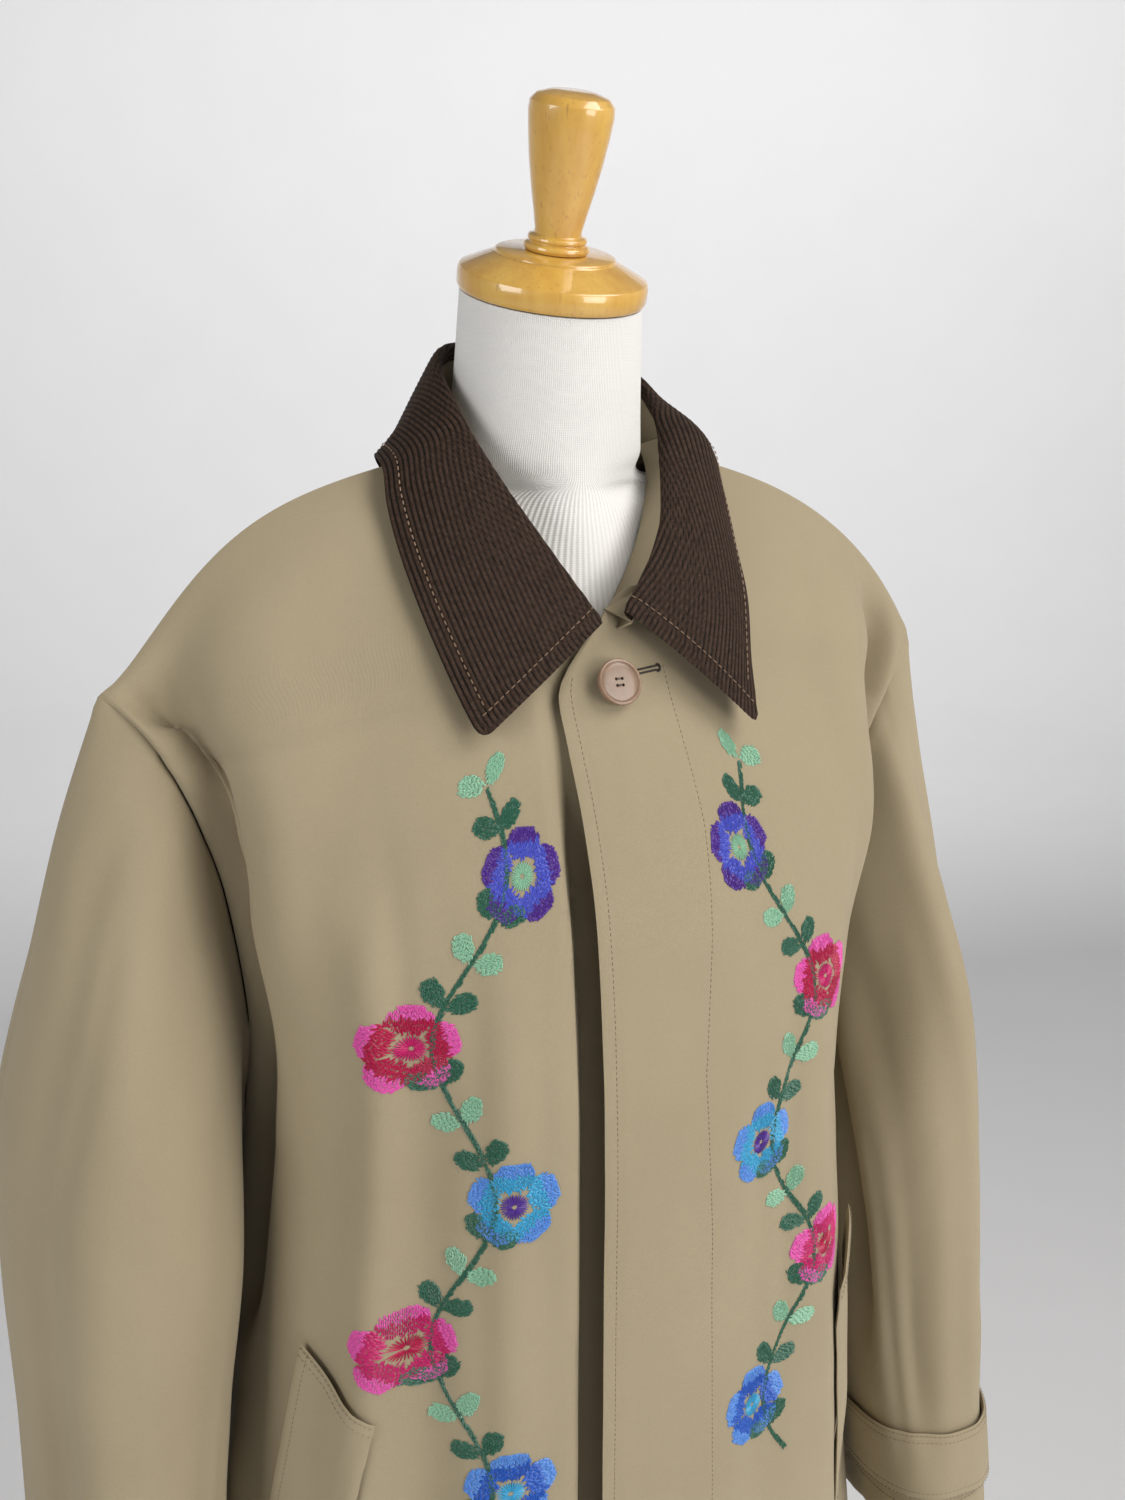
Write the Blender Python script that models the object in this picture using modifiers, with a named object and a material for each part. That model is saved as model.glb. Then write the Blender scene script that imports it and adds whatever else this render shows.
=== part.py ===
"""Mac coat on a dress form.

The coat is a set of cloth walls, each lofted through sections that short tables give: two
fronts, a back, four sleeve pieces, a collar of two pieces, welts, cuff tabs and buttons.
It rests on the shoulders of a padded form with a turned wooden cap, on a pole and a base.

Metres, +Z up. The origin is the centre of the base on the floor, the front faces -Y and the
wearer's left is +X. Tables are in centimetres and are scaled by CM.
"""
import math
from collections import namedtuple

import bmesh
import bpy
import numpy as np
from mathutils import Matrix, Vector
from mathutils.bvhtree import BVHTree

CM = 0.01

# ---- cloth and seams
CLOTH = 0.0016            # coat cloth, two layers
SEAM = 0.0003             # gap between pieces that are sewn together
HALF_SEAM = SEAM / 2
MITRE_LIMIT = -0.3        # least cosine between the normals of panels whose walls are mitred

# ---- fronts
OVERLAP = 2.8             # cm, how far each front runs past the centre line
UNDERLAP_DROP = 1.5       # cm, how far the lower front lies behind the upper one
BUTTONED_DROP = 0.5       # cm, the same beside the fastened top button
LIFT_SHARE = 0.3          # share of that by which the upper front stands forward
NECK_ALLOWANCE = 0.2      # cm, what is left of the overlap along the neckline
KNEE_SHARE = 0.62         # how late the shoulder line falls towards its end
EASE_POWER = 7            # how near its end the ease of a shoulder lies
EASE_SCALE = 20.4         # brings out^7 (1 - out) to a height of one
SHOULDER_EASE = {"left": 0.3, "right": -1.1}   # cm, fullness of each shoulder's end
SLEEVE_ROWS_PER_STATION = 2
SHOULDER_STEPS = 3        # rows of the back between its last table row and the shoulder seam
NECK_COLUMNS = [0.0, 0.08, 0.16]
NECK_SHARE = 0.24         # how far from the centre back the neckline runs
NECK_STEP = 0.015         # the same for the short step beside the shoulder seam's upper end

# ---- collar
LEAF_CLOTH = 0.0022
WALES = 20
WALE_HEIGHT = 0.0007
LEAF_STATIONS = 22
NECKLINE_SAMPLES = 201
STAND_SEAM = 0.08         # cm, gap between the stand and the neckline it is sewn to
LEAF_LIFT = 0.0032        # clearance between the leaf and the coat under it

# ---- trims
WELT_WIDTH = 5.4          # cm
WELT_LENGTH = 18.0        # cm
WELT_THICKNESS = 0.0026
TAB_HEIGHT = 4.7          # cm
TAB_THICKNESS = 0.0030
TAB_LIFT = 0.0015
TAB_LOW_EDGE = 73.4       # cm above the floor
BUTTON_SEGMENTS = 20
TAB_BUTTON_SCALE = 0.8
TAB_BACK_SHARE = 0.6      # how far the tab runs on over the sleeve's back piece
THREAD_RADIUS = 0.0022
THREAD_LENGTH = 0.0028
TOP_BUTTON = (0.3, -9.0, 129.6)        # cm
WELT_TOP_REAR = (16.9, -8.6, 95.6)     # cm, on the wearer's left
WELT_TOP_FRONT = (13.4, -11.5, 92.4)
WELT_DOWN = (0.24, 0.0, -1.0)
WELT_ROWS = 8
WELT_COLUMNS = 5
WELT_LIFT = 0.26          # cm, how far its middle stands off
WELT_EDGE = 0.08          # cm, the same along its sewn front edge
WELT_GAPE = 0.22          # cm, how far the pocket's mouth stands open

# ---- form and stand
NECK_TILT = math.radians(13.9)
CAP_CENTRE = (0.0, -0.010, 1.500)
CAP_SEGMENTS = 28
FORM_SEGMENTS = 28
FORM_ROWS_PER_SECTION = 2
POLE_RADIUS = 0.0125
BASE_SEGMENTS = 40

BodyRow = namedtuple("BodyRow", "cx cy cz sx sy sz roundness knee steps")
SleeveStation = namedtuple("SleeveStation", "left right ly lz mx my mz front back blend")
FormSection = namedtuple("FormSection", "y z half_width front back power tilt")
CollarStation = namedtuple("CollarStation", "rx ry rz ex ey ez lift")
TurnPoint = namedtuple("TurnPoint", "radius height")
Fold = namedtuple("Fold", "u_top u_low z_top z_low width depth")

# Rows of a front, from the hem to the shoulder seam, on the wearer's left. (cx, cy, cz) lies
# on the centre line and then the neckline, (sx, sy, sz) on the side seam and then the armhole.
FRONT_ROWS = [
    BodyRow(0.0, -17.0, 41.0, 24.6, 0.4, 41.0, 2.1, 0.0, 3),
    BodyRow(0.0, -16.5, 58.0, 22.6, 0.3, 58.0, 2.1, 0.0, 3),
    BodyRow(0.0, -15.8, 75.0, 20.6, 0.2, 75.0, 2.15, 0.0, 3),
    BodyRow(0.0, -15.2, 91.0, 19.2, 0.0, 91.0, 2.2, 0.0, 3),
    BodyRow(0.0, -14.7, 105.0, 17.7, 0.0, 105.0, 2.3, 0.0, 2),
    BodyRow(0.0, -14.2, 111.4, 17.7, -1.6, 111.0, 2.25, 0.0, 2),
    BodyRow(0.0, -13.2, 118.0, 18.8, -2.2, 118.2, 2.15, 0.0, 2),
    BodyRow(0.0, -11.6, 123.2, 20.0, -2.2, 122.2, 1.95, 0.1, 1),
    BodyRow(0.0, -9.8, 127.0, 21.0, -2.3, 124.6, 1.8, 0.25, 1),
    BodyRow(0.0, -8.6, 129.4, 21.6, -2.3, 125.7, 1.75, 0.35, 1),
    BodyRow(0.7, -7.8, 131.0, 22.1, -2.3, 126.6, 1.7, 0.5, 1),
    BodyRow(3.8, -6.6, 133.4, 22.9, -2.0, 127.7, 1.65, 0.7, 1),
    BodyRow(5.9, -3.7, 137.4, 23.8, -1.4, 128.6, 1.6, 0.9, 1),
    BodyRow(7.0, -0.2, 140.7, 24.5, -0.8, 129.2, 1.6, 1.0, 0),
]
UNDERARM_ROW = 4
NECK_ROW = 10

# Rows of the back; below the underarm they share the front's side points. Above the last one
# the back runs on to the neckline and to the fronts' shoulder seams.
BACK_ROWS = [
    BodyRow(0.0, 15.4, 41.0, 24.6, 0.4, 41.0, 2.1, 0.0, 3),
    BodyRow(0.0, 14.2, 58.0, 22.6, 0.3, 58.0, 2.1, 0.0, 3),
    BodyRow(0.0, 12.9, 75.0, 20.6, 0.2, 75.0, 2.15, 0.0, 3),
    BodyRow(0.0, 12.0, 91.0, 19.2, 0.0, 91.0, 2.2, 0.0, 3),
    BodyRow(0.0, 12.1, 105.0, 17.7, 0.0, 105.0, 2.3, 0.0, 2),
    BodyRow(0.0, 12.5, 112.0, 18.0, 3.4, 110.6, 2.3, 0.0, 2),
    BodyRow(0.0, 12.6, 119.0, 19.2, 5.0, 117.0, 2.2, 0.0, 2),
    BodyRow(0.0, 12.0, 126.0, 20.6, 5.2, 121.8, 2.0, 0.1, 1),
    BodyRow(0.0, 10.7, 131.6, 21.8, 4.6, 124.9, 1.9, 0.25, 1),
    BodyRow(0.0, 8.8, 136.6, 22.8, 3.3, 127.0, 1.8, 0.5, 1),
    BodyRow(0.0, 7.5, 139.2, 23.6, 1.7, 128.3, 1.7, 0.75, 0),
]

NECK_BACK = (0.0, 6.4, 141.2)      # centre back of the neckline

# Stations down a sleeve: the top seam (l), the underarm seam (m) and the depth before and
# behind the line between them; blend is how far the ring has left the armhole's own shape.
SLEEVE_STATIONS = [
    SleeveStation(24.5, 24.6, -0.8, 129.2, 17.7, 0.0, 105.0, 8.0, 8.0, 0.0),
    SleeveStation(25.6, 26.8, -0.5, 122.5, 18.3, -0.4, 101.6, 8.2, 8.0, 0.45),
    SleeveStation(26.9, 28.7, -0.3, 115.0, 18.9, -0.8, 97.0, 8.3, 8.0, 0.9),
    SleeveStation(28.4, 30.6, -0.4, 107.5, 19.7, -1.2, 92.0, 8.1, 7.7, 1.0),
    SleeveStation(29.4, 31.1, -0.8, 99.0, 20.3, -1.8, 86.8, 7.7, 7.2, 1.0),
    SleeveStation(29.7, 30.9, -1.8, 89.5, 21.0, -2.7, 81.0, 7.1, 6.7, 1.0),
    SleeveStation(30.1, 31.0, -2.9, 80.0, 21.8, -3.8, 75.5, 6.7, 6.2, 1.0),
    SleeveStation(30.8, 31.5, -4.0, 71.0, 22.6, -4.9, 70.0, 6.5, 6.0, 1.0),
]
SLEEVE_POWER = 2.25

# Collar, from the right front end round the neck to the left one: the roll line (r), the
# outer edge (e) and how far the edge stands off the coat.
COLLAR_STATIONS = [
    CollarStation(-0.3, -8.6, 132.8, -7.4, -9.2, 127.1, 0.5),
    CollarStation(-1.9, -7.8, 135.0, -8.5, -7.6, 130.2, 0.4),
    CollarStation(-3.9, -6.4, 138.2, -9.4, -5.6, 133.3, 0.3),
    CollarStation(-5.1, -5.0, 140.5, -9.9, -3.2, 136.8, 0.2),
    CollarStation(-5.8, -3.5, 142.3, -9.6, -1.0, 139.2, 0.35),
    CollarStation(-6.2, -1.4, 144.2, -9.0, 1.2, 139.9, 0.35),
    CollarStation(-5.7, 1.6, 145.6, -7.9, 4.2, 139.5, 0.15),
    CollarStation(-3.6, 4.6, 146.3, -4.9, 7.6, 139.0, 0.1),
    CollarStation(0.1, 5.8, 146.4, 0.1, 8.4, 138.8, 0.1),
    CollarStation(3.8, 4.7, 146.1, 5.0, 7.6, 139.0, 0.1),
    CollarStation(6.6, 2.3, 144.9, 8.2, 4.2, 139.5, 0.15),
    CollarStation(6.6, -0.4, 143.2, 9.2, 1.0, 139.9, 0.6),
    CollarStation(5.9, -2.5, 141.3, 9.3, -1.8, 138.4, 0.6),
    CollarStation(5.0, -4.6, 139.0, 8.9, -4.6, 135.0, 0.4),
    CollarStation(3.6, -6.7, 136.3, 8.7, -6.8, 131.0, 0.5),
    CollarStation(0.9, -8.5, 133.3, 8.0, -9.2, 126.4, 0.9),
]
# Leaf profile over the roll, as distances out from the roll line and down the leaf.
ROLL_PROFILE = [(-0.55, 0.8), (-0.53, 0.45), (-0.36, 0.06), (-0.08, 0.04)]
ROLL_MIDDLE = -0.3        # cm, middle of the roll's two faces
LEAF_BOW = 0.25           # cm, how far the leaf bows out between its roll and its edge

# Padded form: horizontal sections from its lower edge to the shoulders.
FORM_SECTIONS = [
    FormSection(0.0, 70.0, 14.6, 9.8, 9.8, 2.2, 0.0),
    FormSection(0.0, 80.0, 16.2, 10.6, 10.6, 2.2, 0.0),
    FormSection(0.0, 91.0, 14.2, 9.8, 9.4, 2.2, 0.0),
    FormSection(0.0, 101.0, 12.3, 9.2, 8.2, 2.2, 0.0),
    FormSection(0.0, 111.0, 13.6, 10.6, 9.0, 2.2, 0.0),
    FormSection(0.0, 119.0, 15.2, 10.6, 9.8, 2.2, 0.0),
    FormSection(0.2, 126.0, 16.6, 8.6, 9.2, 2.2, 0.0),
    FormSection(0.4, 131.0, 17.4, 6.0, 7.0, 2.1, 0.0),
    FormSection(0.1, 135.6, 16.2, 3.5, 4.6, 2.0, 0.0),
    FormSection(0.0, 137.8, 13.9, 2.7, 3.8, 1.9, 0.0),
    FormSection(0.0, 138.85, 10.8, 2.15, 3.5, 1.9, 0.0),
    FormSection(0.1, 139.5, 5.8, 3.0, 3.8, 2.0, 0.0),
    FormSection(0.1, 141.0, 5.45, 4.6, 4.5, 2.0, 3.0),
    FormSection(-0.3, 144.0, 5.1, 4.9, 4.8, 2.0, 8.0),
    FormSection(-0.7, 148.8, 4.85, 4.85, 4.85, 2.0, 13.9),
]
# Turned shapes, from the top of the axis down the outer side; heights are above the cap's
# rim, then above the floor for the base.
CAP_PROFILE = [
    TurnPoint(0.0, 1.06), TurnPoint(2.95, 1.06), TurnPoint(3.17, 0.98), TurnPoint(3.19, 0.84),
    TurnPoint(3.32, 0.78), TurnPoint(4.70, 0.14), TurnPoint(4.96, 0.0), TurnPoint(5.05, -0.2),
    TurnPoint(5.05, -0.9), TurnPoint(4.92, -1.14), TurnPoint(4.70, -1.2), TurnPoint(0.0, -1.2),
]
FINIAL_PROFILE = [
    TurnPoint(0.0, 9.01), TurnPoint(1.1, 8.93), TurnPoint(1.85, 8.70), TurnPoint(2.16, 8.35),
    TurnPoint(2.20, 7.9), TurnPoint(2.10, 6.9), TurnPoint(1.92, 5.6), TurnPoint(1.66, 4.2),
    TurnPoint(1.40, 3.0), TurnPoint(1.24, 2.2), TurnPoint(1.24, 1.95), TurnPoint(1.52, 1.86),
    TurnPoint(1.58, 1.70), TurnPoint(1.46, 1.56), TurnPoint(1.70, 1.44), TurnPoint(1.76, 1.28),
    TurnPoint(1.62, 1.09), TurnPoint(0.0, 1.09),
]
BASE_PROFILE = [
    TurnPoint(0.0, 3.4), TurnPoint(2.4, 3.4), TurnPoint(2.7, 3.1), TurnPoint(3.2, 2.4),
    TurnPoint(13.0, 1.9), TurnPoint(15.8, 1.5), TurnPoint(16.4, 1.0), TurnPoint(16.5, 0.4),
    TurnPoint(16.3, 0.0), TurnPoint(0.0, 0.0),
]

# Columns of a front: its edge past the centre line (-1), the centre line (0) and on to its side
# seam or armhole (1).
FRONT_COLUMNS = [-1.0, 0.0, 0.12, 0.23, 0.34, 0.44, 0.53, 0.61, 0.68, 0.75, 0.82, 0.89, 0.95, 1.0]
# Largest folds, in the panel's own measure u (0 centre, 1 side), by height. The first two of
# a front are the valley before the armhole and the ridge of the chest beside it.
FRONT_FOLDS = {
    "left": [
        Fold(0.62, 0.95, 135.5, 116.0, 0.06, -3.0),
        Fold(0.48, 0.82, 134.5, 112.0, 0.09, 1.1),
        Fold(0.24, 0.22, 104.0, 41.0, 0.07, -0.9),
        Fold(0.42, 0.46, 114.0, 41.0, 0.09, 1.1),
        Fold(0.66, 0.66, 80.0, 41.0, 0.08, -1.6),
        Fold(0.86, 0.85, 90.0, 41.0, 0.07, 1.8),
    ],
    "right": [
        Fold(0.62, 0.95, 135.5, 116.0, 0.06, -3.0),
        Fold(0.48, 0.82, 134.5, 112.0, 0.09, 1.1),
        Fold(0.21, 0.20, 118.0, 41.0, 0.065, 1.2),
        Fold(0.37, 0.35, 112.0, 41.0, 0.07, -1.3),
        Fold(0.50, 0.49, 118.0, 41.0, 0.07, 1.5),
        Fold(0.74, 0.75, 80.0, 41.0, 0.07, -1.6),
        Fold(0.89, 0.88, 88.0, 41.0, 0.06, 1.5),
    ],
}
BACK_FOLDS = {
    "left": [
        Fold(0.62, 0.90, 134.5, 114.0, 0.06, -1.8),
        Fold(0.00, 0.00, 118.0, 41.0, 0.08, -1.6),
        Fold(0.20, 0.22, 124.0, 41.0, 0.08, 1.4),
        Fold(0.46, 0.48, 116.0, 41.0, 0.09, -1.6),
        Fold(0.70, 0.70, 112.0, 41.0, 0.09, 1.8),
    ],
    "right": [
        Fold(0.62, 0.90, 134.5, 114.0, 0.06, -1.8),
        Fold(0.00, 0.00, 118.0, 41.0, 0.08, -1.6),
        Fold(0.26, 0.24, 120.0, 41.0, 0.09, 1.5),
        Fold(0.52, 0.50, 114.0, 41.0, 0.09, -1.7),
        Fold(0.76, 0.74, 110.0, 41.0, 0.09, 1.7),
    ],
}
SLEEVE_FOLDS = {
    "front": [
        Fold(0.82, 0.78, 123.0, 80.0, 0.08, -1.0),
        Fold(0.60, 0.58, 124.0, 76.0, 0.10, 0.9),
        Fold(0.34, 0.38, 110.0, 74.0, 0.10, -0.9),
    ],
    "back": [
        Fold(0.64, 0.58, 122.0, 78.0, 0.10, -0.9),
        Fold(0.36, 0.38, 108.0, 74.0, 0.10, 0.8),
    ],
}
FADE_TOP = 6.0            # cm over which a fold starts
FADE_LOW = 10.0           # cm over which a fold ends
FOLD_START = 0.4          # share of its depth that a fold has at its top


# Button, from the top of its axis: a dished face inside a raised rim, and a flat back.
BUTTON_PROFILE = [
    TurnPoint(0.0, 0.27), TurnPoint(0.62, 0.27), TurnPoint(0.82, 0.33), TurnPoint(0.95, 0.42),
    TurnPoint(1.13, 0.42), TurnPoint(1.25, 0.30), TurnPoint(1.22, 0.12), TurnPoint(1.05, 0.0),
    TurnPoint(0.0, 0.0),
]


# ---- curves and grids
def smooth_rows(table, parameter):
    """Points on the Catmull-Rom curve through a table's rows; parameter counts the rows."""
    rows = np.asarray(table, float)
    last = len(rows) - 1
    start = np.clip(np.floor(parameter).astype(int), 0, last - 1)
    t = (parameter - start)[:, None]
    before = np.where(start[:, None] > 0, rows[np.maximum(start - 1, 0)],
                      2 * rows[start] - rows[start + 1])
    after = np.where(start[:, None] + 2 <= last, rows[np.minimum(start + 2, last)],
                     2 * rows[start + 1] - rows[start])
    here, there = rows[start], rows[start + 1]
    return (here + 0.5 * t * (there - before
            + t * (2 * before - 5 * here + 4 * there - after
                   + t * (3 * (here - there) + after - before))))


def smoothstep(low, high, value):
    t = np.clip((value - low) / (high - low), 0.0, 1.0)
    return t * t * (3 - 2 * t)


def row_parameters(rows):
    """Grid rows of a body table: each table row gives the number of steps to the next."""
    values = [index + step / row.steps
              for index, row in enumerate(rows) for step in range(row.steps)]
    return np.array(values + [len(rows) - 1.0])


def side_points(rows, parameter):
    """Side seam up to the underarm, then the armhole; the two meet there in a corner."""
    columns = [(row.sx, row.sy, row.sz) for row in rows]
    low = smooth_rows(columns[:UNDERARM_ROW + 1], np.minimum(parameter, UNDERARM_ROW))
    high = smooth_rows(columns[UNDERARM_ROW:], np.maximum(parameter - UNDERARM_ROW, 0.0))
    return np.where((parameter <= UNDERARM_ROW)[:, None], low, high)


def body_grid(rows, across, ease):
    """Grid of a body panel for the wearer's left; across runs from the centre (0) to 1."""
    parameter = row_parameters(rows)
    centre = smooth_rows([(row.cx, row.cy, row.cz) for row in rows], parameter)
    shape = smooth_rows([(row.roundness, row.knee) for row in rows], parameter)
    side = side_points(rows, parameter)
    angle = np.clip(across, 0.0, 1.0) * math.pi / 2
    power = 2.0 / shape[:, :1]
    out = np.sin(angle)[None, :] ** power
    forward = np.cos(angle)[None, :] ** power
    forward[:, across >= 1.0] = 0.0
    knee = out + shape[:, 1:] * KNEE_SHARE * (out ** 3.4 - out)
    grid = np.empty((len(parameter), len(across), 3))
    grid[..., 0] = centre[:, None, 0] + (side[:, None, 0] - centre[:, None, 0]) * out
    grid[..., 1] = side[:, None, 1] + (centre[:, None, 1] - side[:, None, 1]) * forward
    grid[..., 2] = centre[:, None, 2] + (side[:, None, 2] - centre[:, None, 2]) * knee
    grid[..., 2] += ease * EASE_SCALE * shape[:, 1:] * out ** EASE_POWER * (1 - out)
    return grid


def grid_normals(grid):
    """Unit normals of a grid, from its rows and columns."""
    down = np.gradient(grid, axis=0)
    along = np.gradient(grid, axis=1)
    normal = np.cross(along, down)
    return normal / np.linalg.norm(normal, axis=2, keepdims=True)


def fold_height(folds, across, grid):
    """Height of the folds over a grid, fading to none at its side and shoulder seams."""
    height = np.zeros(grid.shape[:2])
    z = grid[..., 2]
    for fold in folds:
        share = np.clip((fold.z_top - z) / (fold.z_top - fold.z_low), 0.0, 1.0)
        middle = fold.u_top + (fold.u_low - fold.u_top) * share
        fade = smoothstep(fold.z_top + FADE_TOP / 2, fold.z_top - FADE_TOP / 2, z)
        if fold.z_low > FRONT_ROWS[0].cz:
            fade = fade * smoothstep(fold.z_low, fold.z_low + FADE_LOW, z)
        depth = fold.depth * fade * (FOLD_START + (1 - FOLD_START) * share)
        height += depth * np.exp(-((across[None, :] - middle) / fold.width) ** 2)
    below_seam = smoothstep(-0.5, 2.0, np.arange(len(grid))[::-1])
    below_seam[-1] = 0.0
    return height * smoothstep(1.0, 0.93, across)[None, :] * below_seam[:, None]


def front_grid(side):
    """Outer points of one front: the centre columns run past the centre line."""
    across = np.array(FRONT_COLUMNS)
    grid = body_grid(FRONT_ROWS, across, SHOULDER_EASE[side])
    above_neck = smoothstep(NECK_ROW - 1.0, NECK_ROW, row_parameters(FRONT_ROWS))
    reach = OVERLAP + (NECK_ALLOWANCE - OVERLAP) * above_neck
    for row, past in zip(grid, reach):
        level = [np.interp(row[1, 0] + past, row[1:, 0], row[1:, axis]) for axis in (1, 2)]
        row[0] = [row[1, 0] - past, *level]
    grid += grid_normals(grid) * fold_height(FRONT_FOLDS[side], across, grid)[..., None]
    buttoned = smoothstep(119.0, 128.0, grid[:, :1, 2])
    drop = UNDERLAP_DROP + (BUTTONED_DROP - UNDERLAP_DROP) * buttoned
    if side == "left":
        grid[..., 1] -= LIFT_SHARE * drop * smoothstep(6.0, 0.0, grid[..., 0])
    else:
        grid[..., 1] += (1 - LIFT_SHARE) * drop * smoothstep(4.6, 2.8, grid[..., 0])
        grid[..., 0] *= -1
    return grid


def back_half(side, seam):
    """Outer points of half the back, up to the neckline and to the front's shoulder seam."""
    over_shoulder = NECK_SHARE + (1 - NECK_SHARE) * np.array(FRONT_COLUMNS)
    over_shoulder[0] = NECK_SHARE - NECK_STEP
    across = np.concatenate([NECK_COLUMNS, over_shoulder])
    half = body_grid(BACK_ROWS, across, SHOULDER_EASE[side])
    height = fold_height(BACK_FOLDS[side], across, half)
    half -= grid_normals(half) * height[..., None]
    turn = np.array(NECK_COLUMNS)[:, None] / NECK_SHARE * math.pi / 2
    centre, point = np.array(NECK_BACK), seam[0]
    neck = np.concatenate([point[0] * np.sin(turn),
                           point[1] + (centre[1] - point[1]) * np.cos(turn),
                           point[2] + (centre[2] - point[2]) * np.cos(turn)], axis=1)
    top = np.concatenate([neck, seam])
    ends = np.stack([half[-2], half[-1], top]).reshape(3, -1)
    steps = 1.0 + np.arange(1, SHOULDER_STEPS + 1) / SHOULDER_STEPS
    return np.concatenate([half, smooth_rows(ends, steps).reshape(-1, len(across), 3)])


def back_grid(fronts):
    """Outer points of the back, from its left side seam round to the right one."""
    mirror = np.array([-1.0, 1.0, 1.0])
    left = back_half("left", fronts["left"][-1])
    right = back_half("right", fronts["right"][-1] * mirror) * mirror
    return np.concatenate([left[:, ::-1], right[:, 1:]], axis=1)


def sleeve_grid(edge, piece, sign):
    """Outer points of a sleeve piece: rows down the arm, columns from underarm to top seam."""
    count = len(SLEEVE_STATIONS) - 1
    parameter = np.linspace(0, count, count * SLEEVE_ROWS_PER_STATION + 1)
    table = SleeveStation(*smooth_rows(SLEEVE_STATIONS, parameter).T)
    reach = table.left if sign > 0 else table.right
    top = np.stack([reach, table.ly, table.lz], axis=1)
    under = np.stack([table.mx, table.my, table.mz], axis=1)
    depth = table.front if piece == "front" else -table.back
    blend = np.clip(table.blend, 0.0, 1.0)[:, None, None]
    across = np.linspace(0.0, 1.0, len(edge))
    angle = across * math.pi
    power = 2.0 / SLEEVE_POWER
    cosine = np.cos(angle)
    share = 0.5 - 0.5 * np.sign(cosine) * np.abs(cosine) ** power
    bow = np.abs(np.sin(angle)) ** power
    bow[-1] = 0.0
    line = under[:, None] + (top - under)[:, None] * share[None, :, None]
    ring = line.copy()
    ring[..., 1] -= depth[:, None] * bow[None, :]
    edge = edge * np.array([sign, 1.0, 1.0])
    carried = edge[None] + line - line[:1]
    grid = (1 - blend) * carried + blend * ring
    height = fold_height(SLEEVE_FOLDS[piece], across, grid) * smoothstep(0.0, 0.1, across)
    outward = grid_normals(grid)
    outward *= np.sign(np.sum(outward * (grid - line), axis=2).mean())
    grid += outward * height[..., None]
    grid[0] = edge
    return grid * np.array([sign, 1.0, 1.0])


# ---- walls
def face_normals(grid):
    """Area-weighted normal at each grid point, summed over the cells round it."""
    cell = np.cross(grid[1:, 1:] - grid[:-1, :-1], grid[:-1, 1:] - grid[1:, :-1])
    total = np.zeros_like(grid)
    for rows in (slice(None, -1), slice(1, None)):
        for columns in (slice(None, -1), slice(1, None)):
            total[rows, columns] += cell
    return total


def shared_normals(grids):
    """Normals that sewn panels share along their seams, so that their walls are mitred."""
    meeting = {}
    own = {}
    for name, grid in grids.items():
        own[name] = face_normals(grid)
        own[name] /= np.linalg.norm(own[name], axis=2, keepdims=True)
        for point, normal in zip(grid.reshape(-1, 3), own[name].reshape(-1, 3)):
            meeting.setdefault(tuple(np.round(point, 3)), []).append(normal)
    result = {}
    for name, grid in grids.items():
        shared = np.empty_like(grid)
        for index in np.ndindex(grid.shape[:2]):
            mine = own[name][index]
            normals = np.array(meeting[tuple(np.round(grid[index], 3))])
            shared[index] = normals[normals @ mine > MITRE_LIMIT].sum(axis=0)
        result[name] = shared / np.linalg.norm(shared, axis=2, keepdims=True)
    return result


def pull_in(grid, sides):
    """Move a grid's sewn edges into the panel by half of the seam's gap."""
    moved = grid.copy()
    edges = {"first_row": (0, 1, 0), "last_row": (-1, -2, 0),
             "first_column": (0, 1, 1), "last_column": (-1, -2, 1)}
    for side in sides:
        edge, inner, axis = edges[side]
        here, there = np.take(grid, edge, axis), np.take(grid, inner, axis)
        step = there - here
        step *= HALF_SEAM / CM / np.linalg.norm(step, axis=1, keepdims=True)
        if axis == 0:
            moved[edge] += step
        else:
            moved[:, edge] += step
    return moved


def grid_faces(rows, columns, first=0):
    index = first + np.arange(rows * columns).reshape(rows, columns)
    corners = (index[:-1, :-1], index[1:, :-1], index[1:, 1:], index[:-1, 1:])
    return np.stack([corner.ravel() for corner in corners], axis=1).tolist()


def border(rows, columns, first=0):
    """Indices round a grid's border, in order."""
    index = first + np.arange(rows * columns).reshape(rows, columns)
    loop = list(index[0]) + list(index[1:, -1]) + list(index[-1, -2::-1])
    return [int(item) for item in loop + list(index[-2:0:-1, 0])]


def closed_body(name, points, faces, material, smooth=True):
    """Object made of one closed mesh whose faces point out; points are in centimetres."""
    mesh = bpy.data.meshes.new(name)
    mesh.from_pydata([tuple(point) for point in np.asarray(points) * CM], [], faces)
    work = bmesh.new()
    work.from_mesh(mesh)
    bmesh.ops.recalc_face_normals(work, faces=work.faces)
    work.to_mesh(mesh)
    work.free()
    mesh.materials.append(material)
    if smooth:
        mesh.shade_smooth()
        mesh.set_sharp_from_angle(angle=math.radians(50))
    item = bpy.data.objects.new(name, mesh)
    parts().objects.link(item)
    return item


def wall(name, outer, inner, material):
    """Cloth wall between two grids of the same size."""
    rows, columns = outer.shape[:2]
    count = rows * columns
    points = np.concatenate([outer.reshape(-1, 3), inner.reshape(-1, 3)])
    faces = grid_faces(rows, columns) + grid_faces(rows, columns, count)
    rim = border(rows, columns)
    for here, there in zip(rim, rim[1:] + rim[:1]):
        faces.append([here, there, there + count, here + count])
    return closed_body(name, points, faces, material)


# ---- scene bookkeeping
def parts():
    return bpy.data.collections["mac_coat"]


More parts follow.
